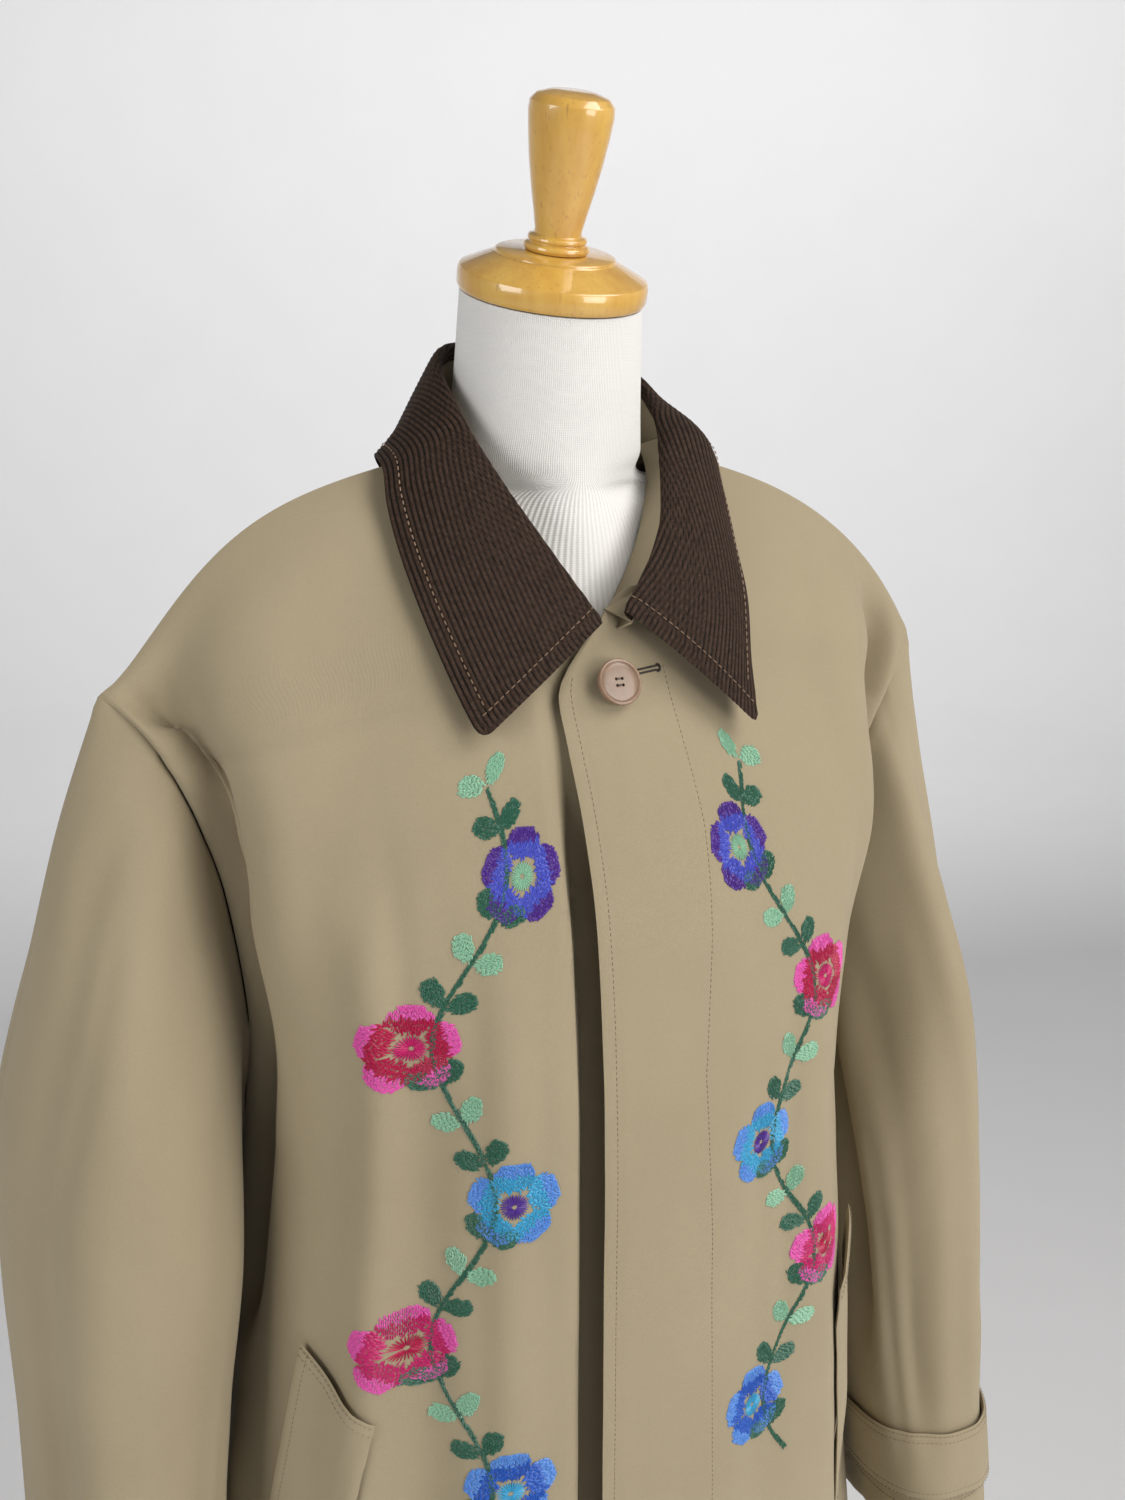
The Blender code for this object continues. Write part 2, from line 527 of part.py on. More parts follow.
def principled(name, colour, roughness, metallic=0.0):
    material = bpy.data.materials.new(name)
    material.use_nodes = True
    shader = material.node_tree.nodes["Principled BSDF"]
    shader.inputs["Base Color"].default_value = (*colour, 1.0)
    shader.inputs["Roughness"].default_value = roughness
    shader.inputs["Metallic"].default_value = metallic
    return material


def link_only(item, collection):
    for other in list(item.users_collection):
        other.objects.unlink(item)
    collection.objects.link(item)


def turned(name, profile, segments, material):
    """Turned solid: a profile from the top of the axis, down its outer side, to the bottom."""
    mesh = bpy.data.meshes.new(name)
    mesh.from_pydata([(point.radius * CM, 0.0, point.height * CM) for point in profile], [],
                     [(index, index + 1) for index in range(len(profile) - 1)])
    mesh.materials.append(material)
    item = bpy.data.objects.new(name, mesh)
    parts().objects.link(item)
    screw = item.modifiers.new("turn", "SCREW")
    screw.steps = segments
    screw.render_steps = segments
    screw.use_merge_vertices = True
    screw.merge_threshold = 0.00002
    screw.use_normal_calculate = True
    screw.use_smooth_shade = True
    return item


# ---- coat
def coat_grids():
    """Outer grids of every panel of the coat, in centimetres, with rows from low to high."""
    fronts = {side: front_grid(side) for side in ("left", "right")}
    grids = {"front_left": fronts["left"], "front_right": fronts["right"],
             "back": back_grid(fronts)}
    first = sum(row.steps for row in FRONT_ROWS[:UNDERARM_ROW])
    for side, sign, column in (("left", 1.0, 0), ("right", -1.0, -1)):
        front_edge = grids[f"front_{side}"][first:, -1]
        back_edge = grids["back"][first:, column]
        grids[f"sleeve_{side}_front"] = sleeve_grid(front_edge, "front", sign)
        grids[f"sleeve_{side}_back"] = sleeve_grid(back_edge, "back", sign)
    return grids


def faces_out(name, grid):
    """Whether the grid's own normals point away from the axis of the torso or of the sleeve."""
    axis_x = {"sleeve_left": 25.0, "sleeve_right": -25.0}.get(name.rsplit("_", 1)[0], 0.0)
    away = grid * np.array([1.0, 1.0, 0.0]) - np.array([axis_x, 0.0, 0.0])
    return np.sum(face_normals(grid) * away) > 0


def build_coat(cloth):
    """Coat panels as mitred walls; returns each panel's outer grid and its normals."""
    grids = {name: grid if faces_out(name, grid) else grid[:, ::-1]
             for name, grid in coat_grids().items()}
    normals = shared_normals(grids)
    for name, grid in grids.items():
        flipped = abs(grid[0, 0, 0]) > abs(grid[0, -1, 0])
        sewn = ["last_row", "first_column" if flipped else "last_column"]
        if name == "back":
            sewn = ["last_row", "first_column", "last_column"]
        elif name.startswith("sleeve"):
            sewn = ["first_row", "first_column", "last_column"]
        outer = pull_in(grid, sewn)
        wall(name, outer, outer - normals[name] * CLOTH / CM, cloth)
    return grids, normals


def surface_tree(grids):
    """Search tree over the outer faces of some panels, in centimetres."""
    points, faces = [], []
    for grid in grids:
        rows, columns = grid.shape[:2]
        faces += grid_faces(rows, columns, len(points))
        points += [tuple(point) for point in grid.reshape(-1, 3)]
    return BVHTree.FromPolygons(points, faces)


def rest_on(tree, point, lift):
    """The nearest place on a surface, moved out by lift; both in centimetres."""
    place, normal, _, _ = tree.find_nearest(Vector(point))
    return np.array(place + normal * lift)


# ---- collar
def collar_stations():
    """Collar table at every station, from the right front end round to the left one."""
    parameter = np.linspace(0.0, len(COLLAR_STATIONS) - 1.0, LEAF_STATIONS + 1)
    return CollarStation(*smooth_rows(COLLAR_STATIONS, parameter).T)


def clear_of(tree, points, gap):
    """How far each point must move, along the surface's normal, to stand clear of it."""
    shift = np.zeros_like(points)
    for index in np.ndindex(points.shape[:-1]):
        place, normal, _, _ = tree.find_nearest(Vector(points[index]))
        height = (Vector(points[index]) - place).dot(normal)
        shift[index] = np.array(normal) * max(gap - height, 0.0)
    return shift


def collar_frames(tree):
    """Roll points, edge points, and the directions down the leaf and out from the neck."""
    table = collar_stations()
    roll = np.stack([table.rx, table.ry, table.rz], axis=1)
    edge = np.stack([table.ex, table.ey, table.ez], axis=1)
    lifts = table.lift + (LEAF_CLOTH + LEAF_LIFT) / CM
    edge = np.array([rest_on(tree, point, lift) for point, lift in zip(edge, lifts)])
    down = edge - roll
    length = np.linalg.norm(down, axis=1, keepdims=True)
    down /= length
    along = np.gradient(roll, axis=0)
    out = np.cross(down, along)
    out /= np.linalg.norm(out, axis=1, keepdims=True)
    outward = np.sum(out * roll * np.array([1.0, 1.0, 0.0]), axis=1).sum()
    return roll, down, out * np.sign(outward), length


def leaf_points(frames, shares, thickness, ridges):
    """One face of the leaf: the roll's profile, then points at shares of the way down."""
    roll, down, out, length = frames
    columns = []
    for reach, fall in ROLL_PROFILE:
        reach = ROLL_MIDDLE + (reach - ROLL_MIDDLE) * (1.0 + thickness / ROLL_MIDDLE)
        columns.append(roll + out * reach + down * (fall + thickness * (fall < 0.3)))
    for share, ridge in zip(shares, ridges):
        bow = LEAF_BOW * 4 * share * (1 - share)
        columns.append(roll + down * length * share + out * (bow + ridge - thickness))
    return np.stack(columns, axis=1)


def strip_between(first, shares, second, other_shares):
    """Triangles between two runs of points that start and end at the same shares."""
    faces = []
    here = there = 0
    while here < len(shares) - 1 or there < len(other_shares) - 1:
        along_here = there == len(other_shares) - 1 or (
            here < len(shares) - 1 and shares[here + 1] <= other_shares[there + 1])
        if along_here:
            faces.append([first + here, first + here + 1, second + there])
            here += 1
        else:
            faces.append([second + there, second + there + 1, first + here])
            there += 1
    return faces


def build_collar(tree, neckline, corduroy, cloth):
    """Falling leaf with raised wales over a plain inside, and the stand under its roll."""
    frames = collar_frames(tree)
    fine = np.linspace(0.06, 1.0, 2 * WALES + 1)
    coarse = np.linspace(0.06, 1.0, 7)
    ridge = WALE_HEIGHT / 2 / CM
    ridges = np.where(np.arange(len(fine)) % 2 == 1, ridge, -ridge)
    outer = leaf_points(frames, fine, 0.0, ridges)
    inner = leaf_points(frames, coarse, LEAF_CLOTH / CM, np.zeros(len(coarse)))
    start = len(ROLL_PROFILE)
    shift = clear_of(tree, inner[:, start:], LEAF_LIFT / CM)
    inner[:, start:] += shift
    for axis in range(3):
        for row in range(len(outer)):
            outer[row, start:, axis] += np.interp(fine, coarse, shift[row, :, axis])
    rows, wide, narrow = len(outer), outer.shape[1], inner.shape[1]
    base = rows * wide
    points = np.concatenate([outer.reshape(-1, 3), inner.reshape(-1, 3)])
    faces = grid_faces(rows, wide) + grid_faces(rows, narrow, base)
    for row in range(rows - 1):
        for first, second in ((row * wide, base + row * narrow),
                              (row * wide + wide - 1, base + row * narrow + narrow - 1)):
            faces.append([first, first + wide, second + narrow, second])
    fold = -np.arange(len(ROLL_PROFILE), 0, -1.0)
    for row in (0, rows - 1):
        faces += strip_between(row * wide, np.concatenate([fold, fine]),
                               base + row * narrow, np.concatenate([fold, coarse]))
    closed_body("collar_leaf", points, faces, corduroy)

    down = frames[1]
    upper = [inner[:, 0] + down * SEAM / CM, outer[:, 0] + down * SEAM / CM]
    dense = np.linspace(0.0, 1.0, NECKLINE_SAMPLES)
    choices = resampled(neckline, dense)[0]
    nearest = [dense[np.argmin(np.linalg.norm(choices - end, axis=1))] for end in upper[0]]
    nearest = np.maximum.accumulate(np.concatenate([[0.0], nearest[1:-1], [1.0]]))
    places, normals, away = resampled(neckline, nearest)
    lower = [places + away * STAND_SEAM, places - normals * CLOTH / CM + away * STAND_SEAM]
    shares = np.linspace(0.0, 1.0, 4)[None, :, None]
    outside, inside = (start[:, None] + (end - start)[:, None] * shares
                       for start, end in zip(upper, lower))
    wall("collar_stand", outside, inside, cloth)


def neckline_of(grids, normals):
    """Points of the neckline from right to left, the outward normals and the way off the coat."""
    first = sum(row.steps for row in FRONT_ROWS[:NECK_ROW])
    runs = []
    for name in ("front_right", "front_left"):
        grid, normal = grids[name][first:], normals[name][first:]
        if abs(grid[0, 0, 0]) > abs(grid[0, -1, 0]):
            grid, normal = grid[:, ::-1], normal[:, ::-1]
        runs.append([grid[:, 0], normal[:, 0], grid[:, 0] - grid[:, 2]])
    grid, normal = grids["back"], normals["back"]
    middle = grid.shape[1] // 2
    span = slice(middle - len(NECK_COLUMNS) + 1, middle + len(NECK_COLUMNS))
    run = [grid[-1, span], normal[-1, span], grid[-1, span] - grid[-2, span]]
    if run[0][0, 0] > run[0][-1, 0]:
        run = [part[::-1] for part in run]
    left = [part[::-1] for part in runs[1]]
    chain = [np.concatenate(pieces) for pieces in zip(runs[0], run, left)]
    chain[2] /= np.linalg.norm(chain[2], axis=1, keepdims=True)
    return chain


def resampled(chain, shares):
    """A chain of points, with what belongs to each, at shares of its length."""
    steps = np.linalg.norm(np.diff(chain[0], axis=0), axis=1)
    distance = np.concatenate([[0.0], np.cumsum(steps)]) / steps.sum()
    return [np.stack([np.interp(shares, distance, item[:, axis]) for axis in range(3)], axis=1)
            for item in chain]


# ---- form and stand
def ring(section, count):
    """Points of one section of the form, leaning forward by the section's tilt."""
    angle = np.arange(count) / count * 2 * math.pi
    power = 2.0 / section.power
    cosine, sine = np.cos(angle), np.sin(angle)
    x = section.half_width * np.sign(cosine) * np.abs(cosine) ** power
    depth = np.where(sine > 0, section.back, section.front)
    y = depth * np.sign(sine) * np.abs(sine) ** power
    tilt = math.radians(section.tilt)
    return np.stack([x, section.y + y * math.cos(tilt), section.z + y * math.sin(tilt)], axis=1)


def build_form(jersey):
    count = len(FORM_SECTIONS) - 1
    parameter = np.linspace(0, count, count * FORM_ROWS_PER_SECTION + 1)
    rings = [ring(FormSection(*row), FORM_SEGMENTS)
             for row in smooth_rows(FORM_SECTIONS, parameter)]
    points = np.concatenate(rings)
    faces = []
    for row in range(len(rings) - 1):
        for column in range(FORM_SEGMENTS):
            here = row * FORM_SEGMENTS + column
            there = row * FORM_SEGMENTS + (column + 1) % FORM_SEGMENTS
            faces.append([here, there, there + FORM_SEGMENTS, here + FORM_SEGMENTS])
    faces.append(list(range(FORM_SEGMENTS)))
    faces.append(list(range(len(points) - FORM_SEGMENTS, len(points))))
    return closed_body("form_torso", points, faces, jersey)


def build_stand(wood, metal):
    """Cap and finial on the leaning neck, then the pole and the base under the form."""
    lean = Matrix.Rotation(NECK_TILT, 4, "X")
    for name, profile in (("neck_cap", CAP_PROFILE), ("cap_finial", FINIAL_PROFILE)):
        item = turned(name, profile, CAP_SEGMENTS, wood)
        item.matrix_world = Matrix.Translation(CAP_CENTRE) @ lean
    turned("stand_base", BASE_PROFILE, BASE_SEGMENTS, metal)
    top = FORM_SECTIONS[0].z * CM - SEAM
    bottom = BASE_PROFILE[0].height * CM + SEAM
    bpy.ops.mesh.primitive_cylinder_add(vertices=24, radius=POLE_RADIUS, depth=top - bottom,
                                        location=(0, 0, (top + bottom) / 2))
    pole = bpy.context.object
    pole.name = "stand_pole"
    pole.data.materials.append(metal)
    link_only(pole, parts())


# ---- trims
def patch_wall(name, places, directions, lift, thickness, material):
    """Wall over a grid of places on a panel; lift may differ over the grid."""
    inner = places + directions * lift[..., None]
    wall(name, inner + directions * thickness / CM, inner, material)


def build_welt(side, grid, cloth):
    """Slanted welt of a side pocket: sewn at its front edge and ends, open at the rear one."""
    sign = 1.0 if side == "left" else -1.0
    tree = surface_tree([grid])
    top_rear = np.array(WELT_TOP_REAR)
    top_front = np.array(WELT_TOP_FRONT)
    across = (top_front - top_rear) / np.linalg.norm(top_front - top_rear)
    down = np.array(WELT_DOWN) / np.linalg.norm(WELT_DOWN)
    places = np.empty((WELT_ROWS + 1, WELT_COLUMNS + 1, 3))
    directions = np.empty_like(places)
    lift = np.empty(places.shape[:2])
    for row in range(WELT_ROWS + 1):
        for column in range(WELT_COLUMNS + 1):
            share = column / WELT_COLUMNS
            target = top_rear + across * WELT_WIDTH * share
            target = target + down * WELT_LENGTH * row / WELT_ROWS
            place, normal, _, _ = tree.find_nearest(Vector(target * np.array([sign, 1, 1])))
            places[row, column] = place
            directions[row, column] = normal
            lift[row, column] = WELT_EDGE + (WELT_LIFT - WELT_EDGE) * min(
                1.0, WELT_COLUMNS * (1 - share))
            lift[row, column] += WELT_GAPE * (1 - share) * math.sin(math.pi * row / WELT_ROWS)
    patch_wall(f"pocket_welt_{side}", places, directions, lift, WELT_THICKNESS, cloth)


def at_height(grid, normals, height):
    """Points and normals where each column of a grid crosses a height."""
    places, directions = [], []
    for column in range(grid.shape[1]):
        z = grid[:, column, 2]
        order = np.argsort(z)
        places.append([np.interp(height, z[order], grid[order, column, axis])
                       for axis in range(3)])
        directions.append([np.interp(height, z[order], normals[order, column, axis])
                           for axis in range(3)])
    return np.array(places), np.array(directions)


def build_tab(side, grids, normals, cloth, horn):
    """Cuff tab: sewn in at the underarm seam, round the front and the outside of the cuff."""
    rows = []
    for share in np.linspace(0.0, 1.0, 4):
        height = TAB_LOW_EDGE + TAB_HEIGHT * share
        run = []
        for piece in ("front", "back"):
            name = f"sleeve_{side}_{piece}"
            places, directions = at_height(grids[name], normals[name], height)
            if np.abs(places[0, 0]) > np.abs(places[-1, 0]):
                places, directions = places[::-1], directions[::-1]
            run.append(np.concatenate([places, directions], axis=1))
        keep = int(len(run[1]) * TAB_BACK_SHARE)
        rows.append(np.concatenate([run[0], run[1][::-1][1:keep]]))
    table = np.array(rows)
    places, directions = table[..., :3], table[..., 3:]
    directions = directions / np.linalg.norm(directions, axis=2, keepdims=True)
    lift = np.full(places.shape[:2], TAB_LIFT / CM)
    patch_wall(f"cuff_tab_{side}", places, directions, lift, TAB_THICKNESS, cloth)
    place = places[1:3, -2].mean(axis=0)
    direction = directions[1:3, -2].mean(axis=0)
    surface = place + direction * (TAB_LIFT + TAB_THICKNESS) / CM
    build_button(f"tab_button_{side}", surface, direction, TAB_BUTTON_SCALE, horn)


def build_button(name, surface, direction, scale, material):
    """Round button on a short thread shank, standing on a surface point in centimetres."""
    turn = Vector(direction).to_track_quat("Z", "Y").to_matrix().to_4x4()
    place = Matrix.Translation(Vector(surface) * CM) @ turn
    profile = [TurnPoint(point.radius * scale, point.height * scale)
               for point in BUTTON_PROFILE]
    button = turned(name, profile, BUTTON_SEGMENTS, material)
    lift = THREAD_LENGTH + 2 * SEAM
    button.matrix_world = place @ Matrix.Translation((0, 0, lift))
    bpy.ops.mesh.primitive_cylinder_add(vertices=12, radius=THREAD_RADIUS * scale,
                                        depth=THREAD_LENGTH)
    thread = bpy.context.object
    thread.name = f"{name}_thread"
    thread.matrix_world = place @ Matrix.Translation((0, 0, THREAD_LENGTH / 2 + SEAM))
    thread.data.materials.append(material)
    link_only(thread, parts())


def main():
    for item in list(bpy.data.objects):
        bpy.data.objects.remove(item, do_unlink=True)
    collection = bpy.data.collections.new("mac_coat")
    bpy.context.scene.collection.children.link(collection)
    cloth = principled("khaki_cotton", (0.33, 0.28, 0.19), 0.8)
    corduroy = principled("brown_corduroy", (0.045, 0.028, 0.02), 0.85)
    jersey = principled("white_jersey", (0.78, 0.77, 0.74), 0.9)
    wood = principled("varnished_wood", (0.72, 0.46, 0.17), 0.2)
    metal = principled("cream_metal", (0.75, 0.73, 0.68), 0.4, 0.0)
    horn = principled("horn_button", (0.55, 0.42, 0.33), 0.35)

    grids, normals = build_coat(cloth)
    body = surface_tree([grids["front_left"], grids["front_right"], grids["back"]])
    build_collar(body, neckline_of(grids, normals), corduroy, cloth)
    build_form(jersey)
    build_stand(wood, metal)
    for side in ("left", "right"):
        build_welt(side, grids[f"front_{side}"], cloth)
        build_tab(side, grids, normals, cloth, horn)
    place, normal, _, _ = surface_tree([grids["front_left"]]).find_nearest(Vector(TOP_BUTTON))
    build_button("top_button", place, normal, 1.0, horn)


main()
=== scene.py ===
"""Looks of a mac coat on its dress form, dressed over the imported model's frame.

The cloth is lofted again through the sections that the solids have, with finer rows and columns,
creases, seams, stitches and embroidery. Lengths in tables are in centimetres and are scaled by
CM; the frame is in metres, +Z up, with the front of the coat facing -Y.
"""
import math
from collections import namedtuple

import bmesh
import bpy
import numpy as np
from mathutils import Matrix, Vector, noise
from mathutils.bvhtree import BVHTree


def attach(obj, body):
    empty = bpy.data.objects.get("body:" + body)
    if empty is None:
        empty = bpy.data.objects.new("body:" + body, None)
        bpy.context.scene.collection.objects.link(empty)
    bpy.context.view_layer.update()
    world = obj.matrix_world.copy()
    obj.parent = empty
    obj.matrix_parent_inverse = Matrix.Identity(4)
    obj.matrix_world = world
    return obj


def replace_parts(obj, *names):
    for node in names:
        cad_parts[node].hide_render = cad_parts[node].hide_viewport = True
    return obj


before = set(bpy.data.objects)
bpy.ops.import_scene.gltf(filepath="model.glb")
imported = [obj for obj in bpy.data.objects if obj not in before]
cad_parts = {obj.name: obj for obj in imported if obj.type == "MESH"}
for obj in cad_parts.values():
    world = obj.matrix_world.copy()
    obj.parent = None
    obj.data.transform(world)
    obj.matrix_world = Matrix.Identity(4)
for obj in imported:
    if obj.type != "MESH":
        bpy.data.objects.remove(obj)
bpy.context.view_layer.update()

CM = 0.01
ROOT = "root"

# ---- camera, from the photograph
PHOTO_HEIGHT = 1500
FOCAL_PIXELS = 1646.0
CAMERA_PLACE = (-0.37146, -0.82718, 1.4798)
CAMERA_AZIMUTH = math.radians(-25.0)
CAMERA_PITCH = math.radians(14.9)
CAMERA_ROLL = math.radians(0.93)

# ---- cloth and seams, as in the solids
CLOTH = 0.16
OVERLAP = 2.8
UNDERLAP_DROP = 2.2
BUTTONED_DROP = 0.6
UNDERLAP_RAMP = (4.3, 3.1)      # where the lower front sinks beside the upper one's edge
NECK_RAISE = (2.2, 0.9)         # how far the fronts' neck edge stands up and back at the centre
LIFT_SHARE = 0.2
NECK_ALLOWANCE = 0.2
KNEE_SHARE = 0.62
EASE_POWER = 7
EASE_SCALE = 20.4
SHOULDER_EASE = {"left": 0.3, "right": -1.1}
SQUARER = {"left": 0.1, "right": 0.45}      # roundness added beside the sleeves
SLEEVE_ROWS_PER_STATION = 2
SHOULDER_STEPS = 3
NECK_COLUMNS = [0.0, 0.08, 0.16]
NECK_SHARE = 0.24
NECK_STEP = 0.015
MITRE_LIMIT = -0.3

# ---- how much finer than the solids the dressed cloth is
ROW_TIMES = 6
COLUMN_TIMES = 8
BACK_COLUMN_TIMES = 5
SLEEVE_ROW_TIMES = 6
EDGE_SHARES = [0.35, 0.15]      # of the last step, extra columns beside a sewn edge
PAST_SPAN = 0.1                 # measure across that the overlap past the centre line takes up
SEAM_DEPTH = 0.05
SEAM_WIDTH = 0.12
ALLOWANCE_HEIGHT = 0.035
ALLOWANCE_PLACE = 0.55
ALLOWANCE_WIDTH = 0.35
UNEVEN = 0.22                   # height of the cloth's gentle unevenness
UNEVEN_SIZE = 5.0
UNEVEN_STRETCH = 3.5
FINER_ACROSS, FINER_DOWN = 3.1, 1.3         # how much smaller its second layer is
FINER_SHARE = 0.22
LEAF_UNEVEN = 0.05

# ---- stitching
STITCH_LENGTH = 0.24
STITCH_GAP = 0.06
STITCH_WIDTH = 0.045
STITCH_HEIGHT = 0.03
STITCH_DRAW = 0.045             # how far a row of stitches draws the cloth in
STITCH_DRAW_WIDTH = 0.16
EDGE_STITCH = 0.7               # distances in from the folded edge
HEM_STITCH = 3.0
CUFF_STITCH = 2.5
COLLAR_STITCH = 0.95
COLLAR_STITCH_LENGTH = 0.30
COLLAR_STITCH_GAP = 0.10
END_STITCHES = (0.15, 0.62)     # double rows at a welt's ends and a tab's edges
STITCH_TOP = 130.6              # the fronts' stitching starts under the collar
FLY_LOW = 52.0
BUTTONHOLE_START = (1.45, 129.9)
BUTTONHOLE_LENGTH = 1.5
BUTTONHOLE_HALF = 0.17
BUTTONHOLE_STITCHES = 22
HOLE_OFFSET = 0.17
HOLE_RADIUS = 0.085
# ---- collar
LEAF_CLOTH = 0.22
LEAF_LIFT = 0.32
LEAF_STATIONS = 22
TIP_RADIUS = 0.8
LEAF_ROW_TIMES = 6
LEAF_COLUMNS = 190
WALE_PITCH = 0.31
WALE_HEIGHT = 0.075
NECKLINE_SAMPLES = 401
STAND_SEAM = 0.08

# ---- trims
WELT_WIDTH = 5.4
WELT_LENGTH = 18.0
WELT_THICKNESS = 0.26
TAB_HEIGHT = 4.7
TAB_THICKNESS = 0.30
TAB_LIFT = 0.15
TAB_LOW_EDGE = 73.4
TAB_BACK_SHARE = 0.6
TAB_BUTTON_SCALE = 0.8
THREAD_LENGTH = 0.28
BUTTON_GAP = 0.03
TOP_BUTTON = (0.3, -9.0, 129.6)
WELT_TOP_REAR = (16.9, -8.6, 95.6)
WELT_TOP_FRONT = (13.4, -11.5, 92.4)
WELT_DOWN = (0.24, 0.0, -1.0)
WELT_LIFT = 0.26
WELT_EDGE = 0.08
WELT_GAPE = {"left": 0.03, "right": 0.22}
WELT_TOP_GAPE = {"left": 0.30, "right": 0.0}
WELT_REACH = 12.0               # how far out the welt is laid onto the front from
WELT_FRONT_SLOPE = 5            # one over the share of its width that lies down to the front edge
WELT_TOP_SLOPE = 6              # and of its length over which its top end gapes
WELT_ROWS = 48
WELT_COLUMNS = 24
TAB_ROWS = 24

# ---- form and stand
NECK_TILT = math.radians(13.9)
CAP_CENTRE = (0.0, -0.010, 1.500)
POLE_RADIUS = 0.0125
FORM_SEGMENTS = 128
FORM_ROWS_PER_SECTION = 8
TURNED_SEGMENTS = 96
THROAT_LINE = [(130.0, -6.1), (131.5, -5.65), (134.0, -5.2), (138.0, -4.95), (141.0, -4.9),
               (144.0, -5.1)]   # height and depth of the form's throat
THROAT_WIDTH = 3.6
FACING_MOVE = (-1.3, 1.2, -1.0) # from the collar's roll to the facing's inner edge
FACING_CLOTH = 0.12
FACING_LIFT = 0.1

# ---- cloth and finish
TWILL_PITCH = 0.0007            # metres
WEFT_PITCH = 0.0005
RIB_COUNT = 300
LOOP_PITCH = 0.0012
KHAKI = (0.352, 0.292, 0.190)
KHAKI_DEEP = (0.318, 0.262, 0.168)
KHAKI_LIGHT = (0.430, 0.362, 0.244)
CORDUROY = (0.032, 0.0175, 0.0115)
CORDUROY_LIGHT = (0.088, 0.055, 0.037)
# painted shade: the colour of the furrows between the corduroy's wales
CORDUROY_FURROW_SHADE = (0.003, 0.002, 0.0015)
JERSEY = (0.84, 0.83, 0.81)
JERSEY_DEEP = (0.79, 0.78, 0.755)
# painted shade: the colour of the furrows between the jersey's ribs
JERSEY_FURROW_SHADE = (0.77, 0.76, 0.74)
WOOD = (0.70, 0.43, 0.09)
WOOD_DEEP = (0.57, 0.30, 0.05)
WOOD_PORE = (0.40, 0.20, 0.06)
CREAM = (0.72, 0.70, 0.64)
CREAM_SCUFFED = (0.60, 0.57, 0.50)
HORN = (0.27, 0.175, 0.115)
HORN_DEEP = (0.205, 0.125, 0.075)
COAT_THREAD = (0.20, 0.16, 0.10)
COLLAR_THREAD = (0.27, 0.175, 0.11)
DARK_THREAD = (0.05, 0.04, 0.03)
PAPER = (0.84, 0.84, 0.85)

# ---- light
STAGE_FLOOR = 5.0
STAGE_SWEEP = 2.0
STAGE_HEIGHT = 5.0
WORLD_COLOUR = (0.96, 0.97, 1.0)
WORLD_STRENGTH = 0.18
Light = namedtuple("Light", "name place aim width height watts colour")
LIGHTS = [
    Light("key_overhead", (1.3, -1.2, 3.0), (0.0, 0.0, 1.15), 1.6, 1.6, 46.0,
          (1.0, 0.97, 0.93)),
    Light("front_fill", (1.5, -2.8, 1.5), (0.2, 0.0, 0.9), 1.6, 1.6, 50.0,
          (1.0, 0.98, 0.95)),
    Light("rim_left", (-2.7, -0.9, 2.1), (-0.1, 0.0, 1.2), 1.4, 1.4, 38.0,
          (1.0, 0.99, 0.96)),
    Light("backdrop_wash", (1.6, 2.4, 3.2), (2.4, 6.4, 2.9), 3.4, 1.6, 122.0,
          (1.0, 0.99, 0.98)),
]

BodyRow = namedtuple("BodyRow", "cx cy cz sx sy sz roundness knee steps")
SleeveStation = namedtuple("SleeveStation", "left right ly lz mx my mz front back blend")
FormSection = namedtuple("FormSection", "y z half_width front back power tilt")
CollarStation = namedtuple("CollarStation", "rx ry rz ex ey ez lift")
TurnPoint = namedtuple("TurnPoint", "radius height")
Fold = namedtuple("Fold", "u_top u_low z_top z_low width depth")

# Rows of a front, from the hem to the shoulder seam, on the wearer's left. (cx, cy, cz) lies
# on the centre line and then the neckline, (sx, sy, sz) on the side seam and then the armhole.
FRONT_ROWS = [
    BodyRow(0.0, -17.0, 41.0, 24.6, 0.4, 41.0, 2.1, 0.0, 3),
    BodyRow(0.0, -16.5, 58.0, 22.6, 0.3, 58.0, 2.1, 0.0, 3),
    BodyRow(0.0, -15.8, 75.0, 20.6, 0.2, 75.0, 2.15, 0.0, 3),
    BodyRow(0.0, -15.2, 91.0, 19.2, 0.0, 91.0, 2.2, 0.0, 3),
    BodyRow(0.0, -14.7, 105.0, 17.7, 0.0, 105.0, 2.3, 0.0, 2),
    BodyRow(0.0, -14.2, 111.4, 17.7, -1.6, 111.0, 2.25, 0.0, 2),
    BodyRow(0.0, -13.2, 118.0, 18.8, -2.2, 118.2, 2.15, 0.0, 2),
    BodyRow(0.0, -11.6, 123.2, 20.0, -2.2, 122.2, 1.95, 0.1, 1),
    BodyRow(0.0, -9.8, 127.0, 21.0, -2.3, 124.6, 1.8, 0.25, 1),
    BodyRow(0.0, -8.6, 129.4, 21.6, -2.3, 125.7, 1.75, 0.35, 1),
    BodyRow(0.7, -7.8, 131.0, 22.1, -2.3, 126.6, 1.7, 0.5, 1),
    BodyRow(3.8, -6.6, 133.4, 22.9, -2.0, 127.7, 1.65, 0.7, 1),
    BodyRow(5.9, -3.7, 137.4, 23.8, -1.4, 128.6, 1.6, 0.9, 1),
    BodyRow(7.0, -0.2, 140.7, 24.5, -0.8, 129.2, 1.6, 1.0, 0),
]
UNDERARM_ROW = 4
NECK_ROW = 10

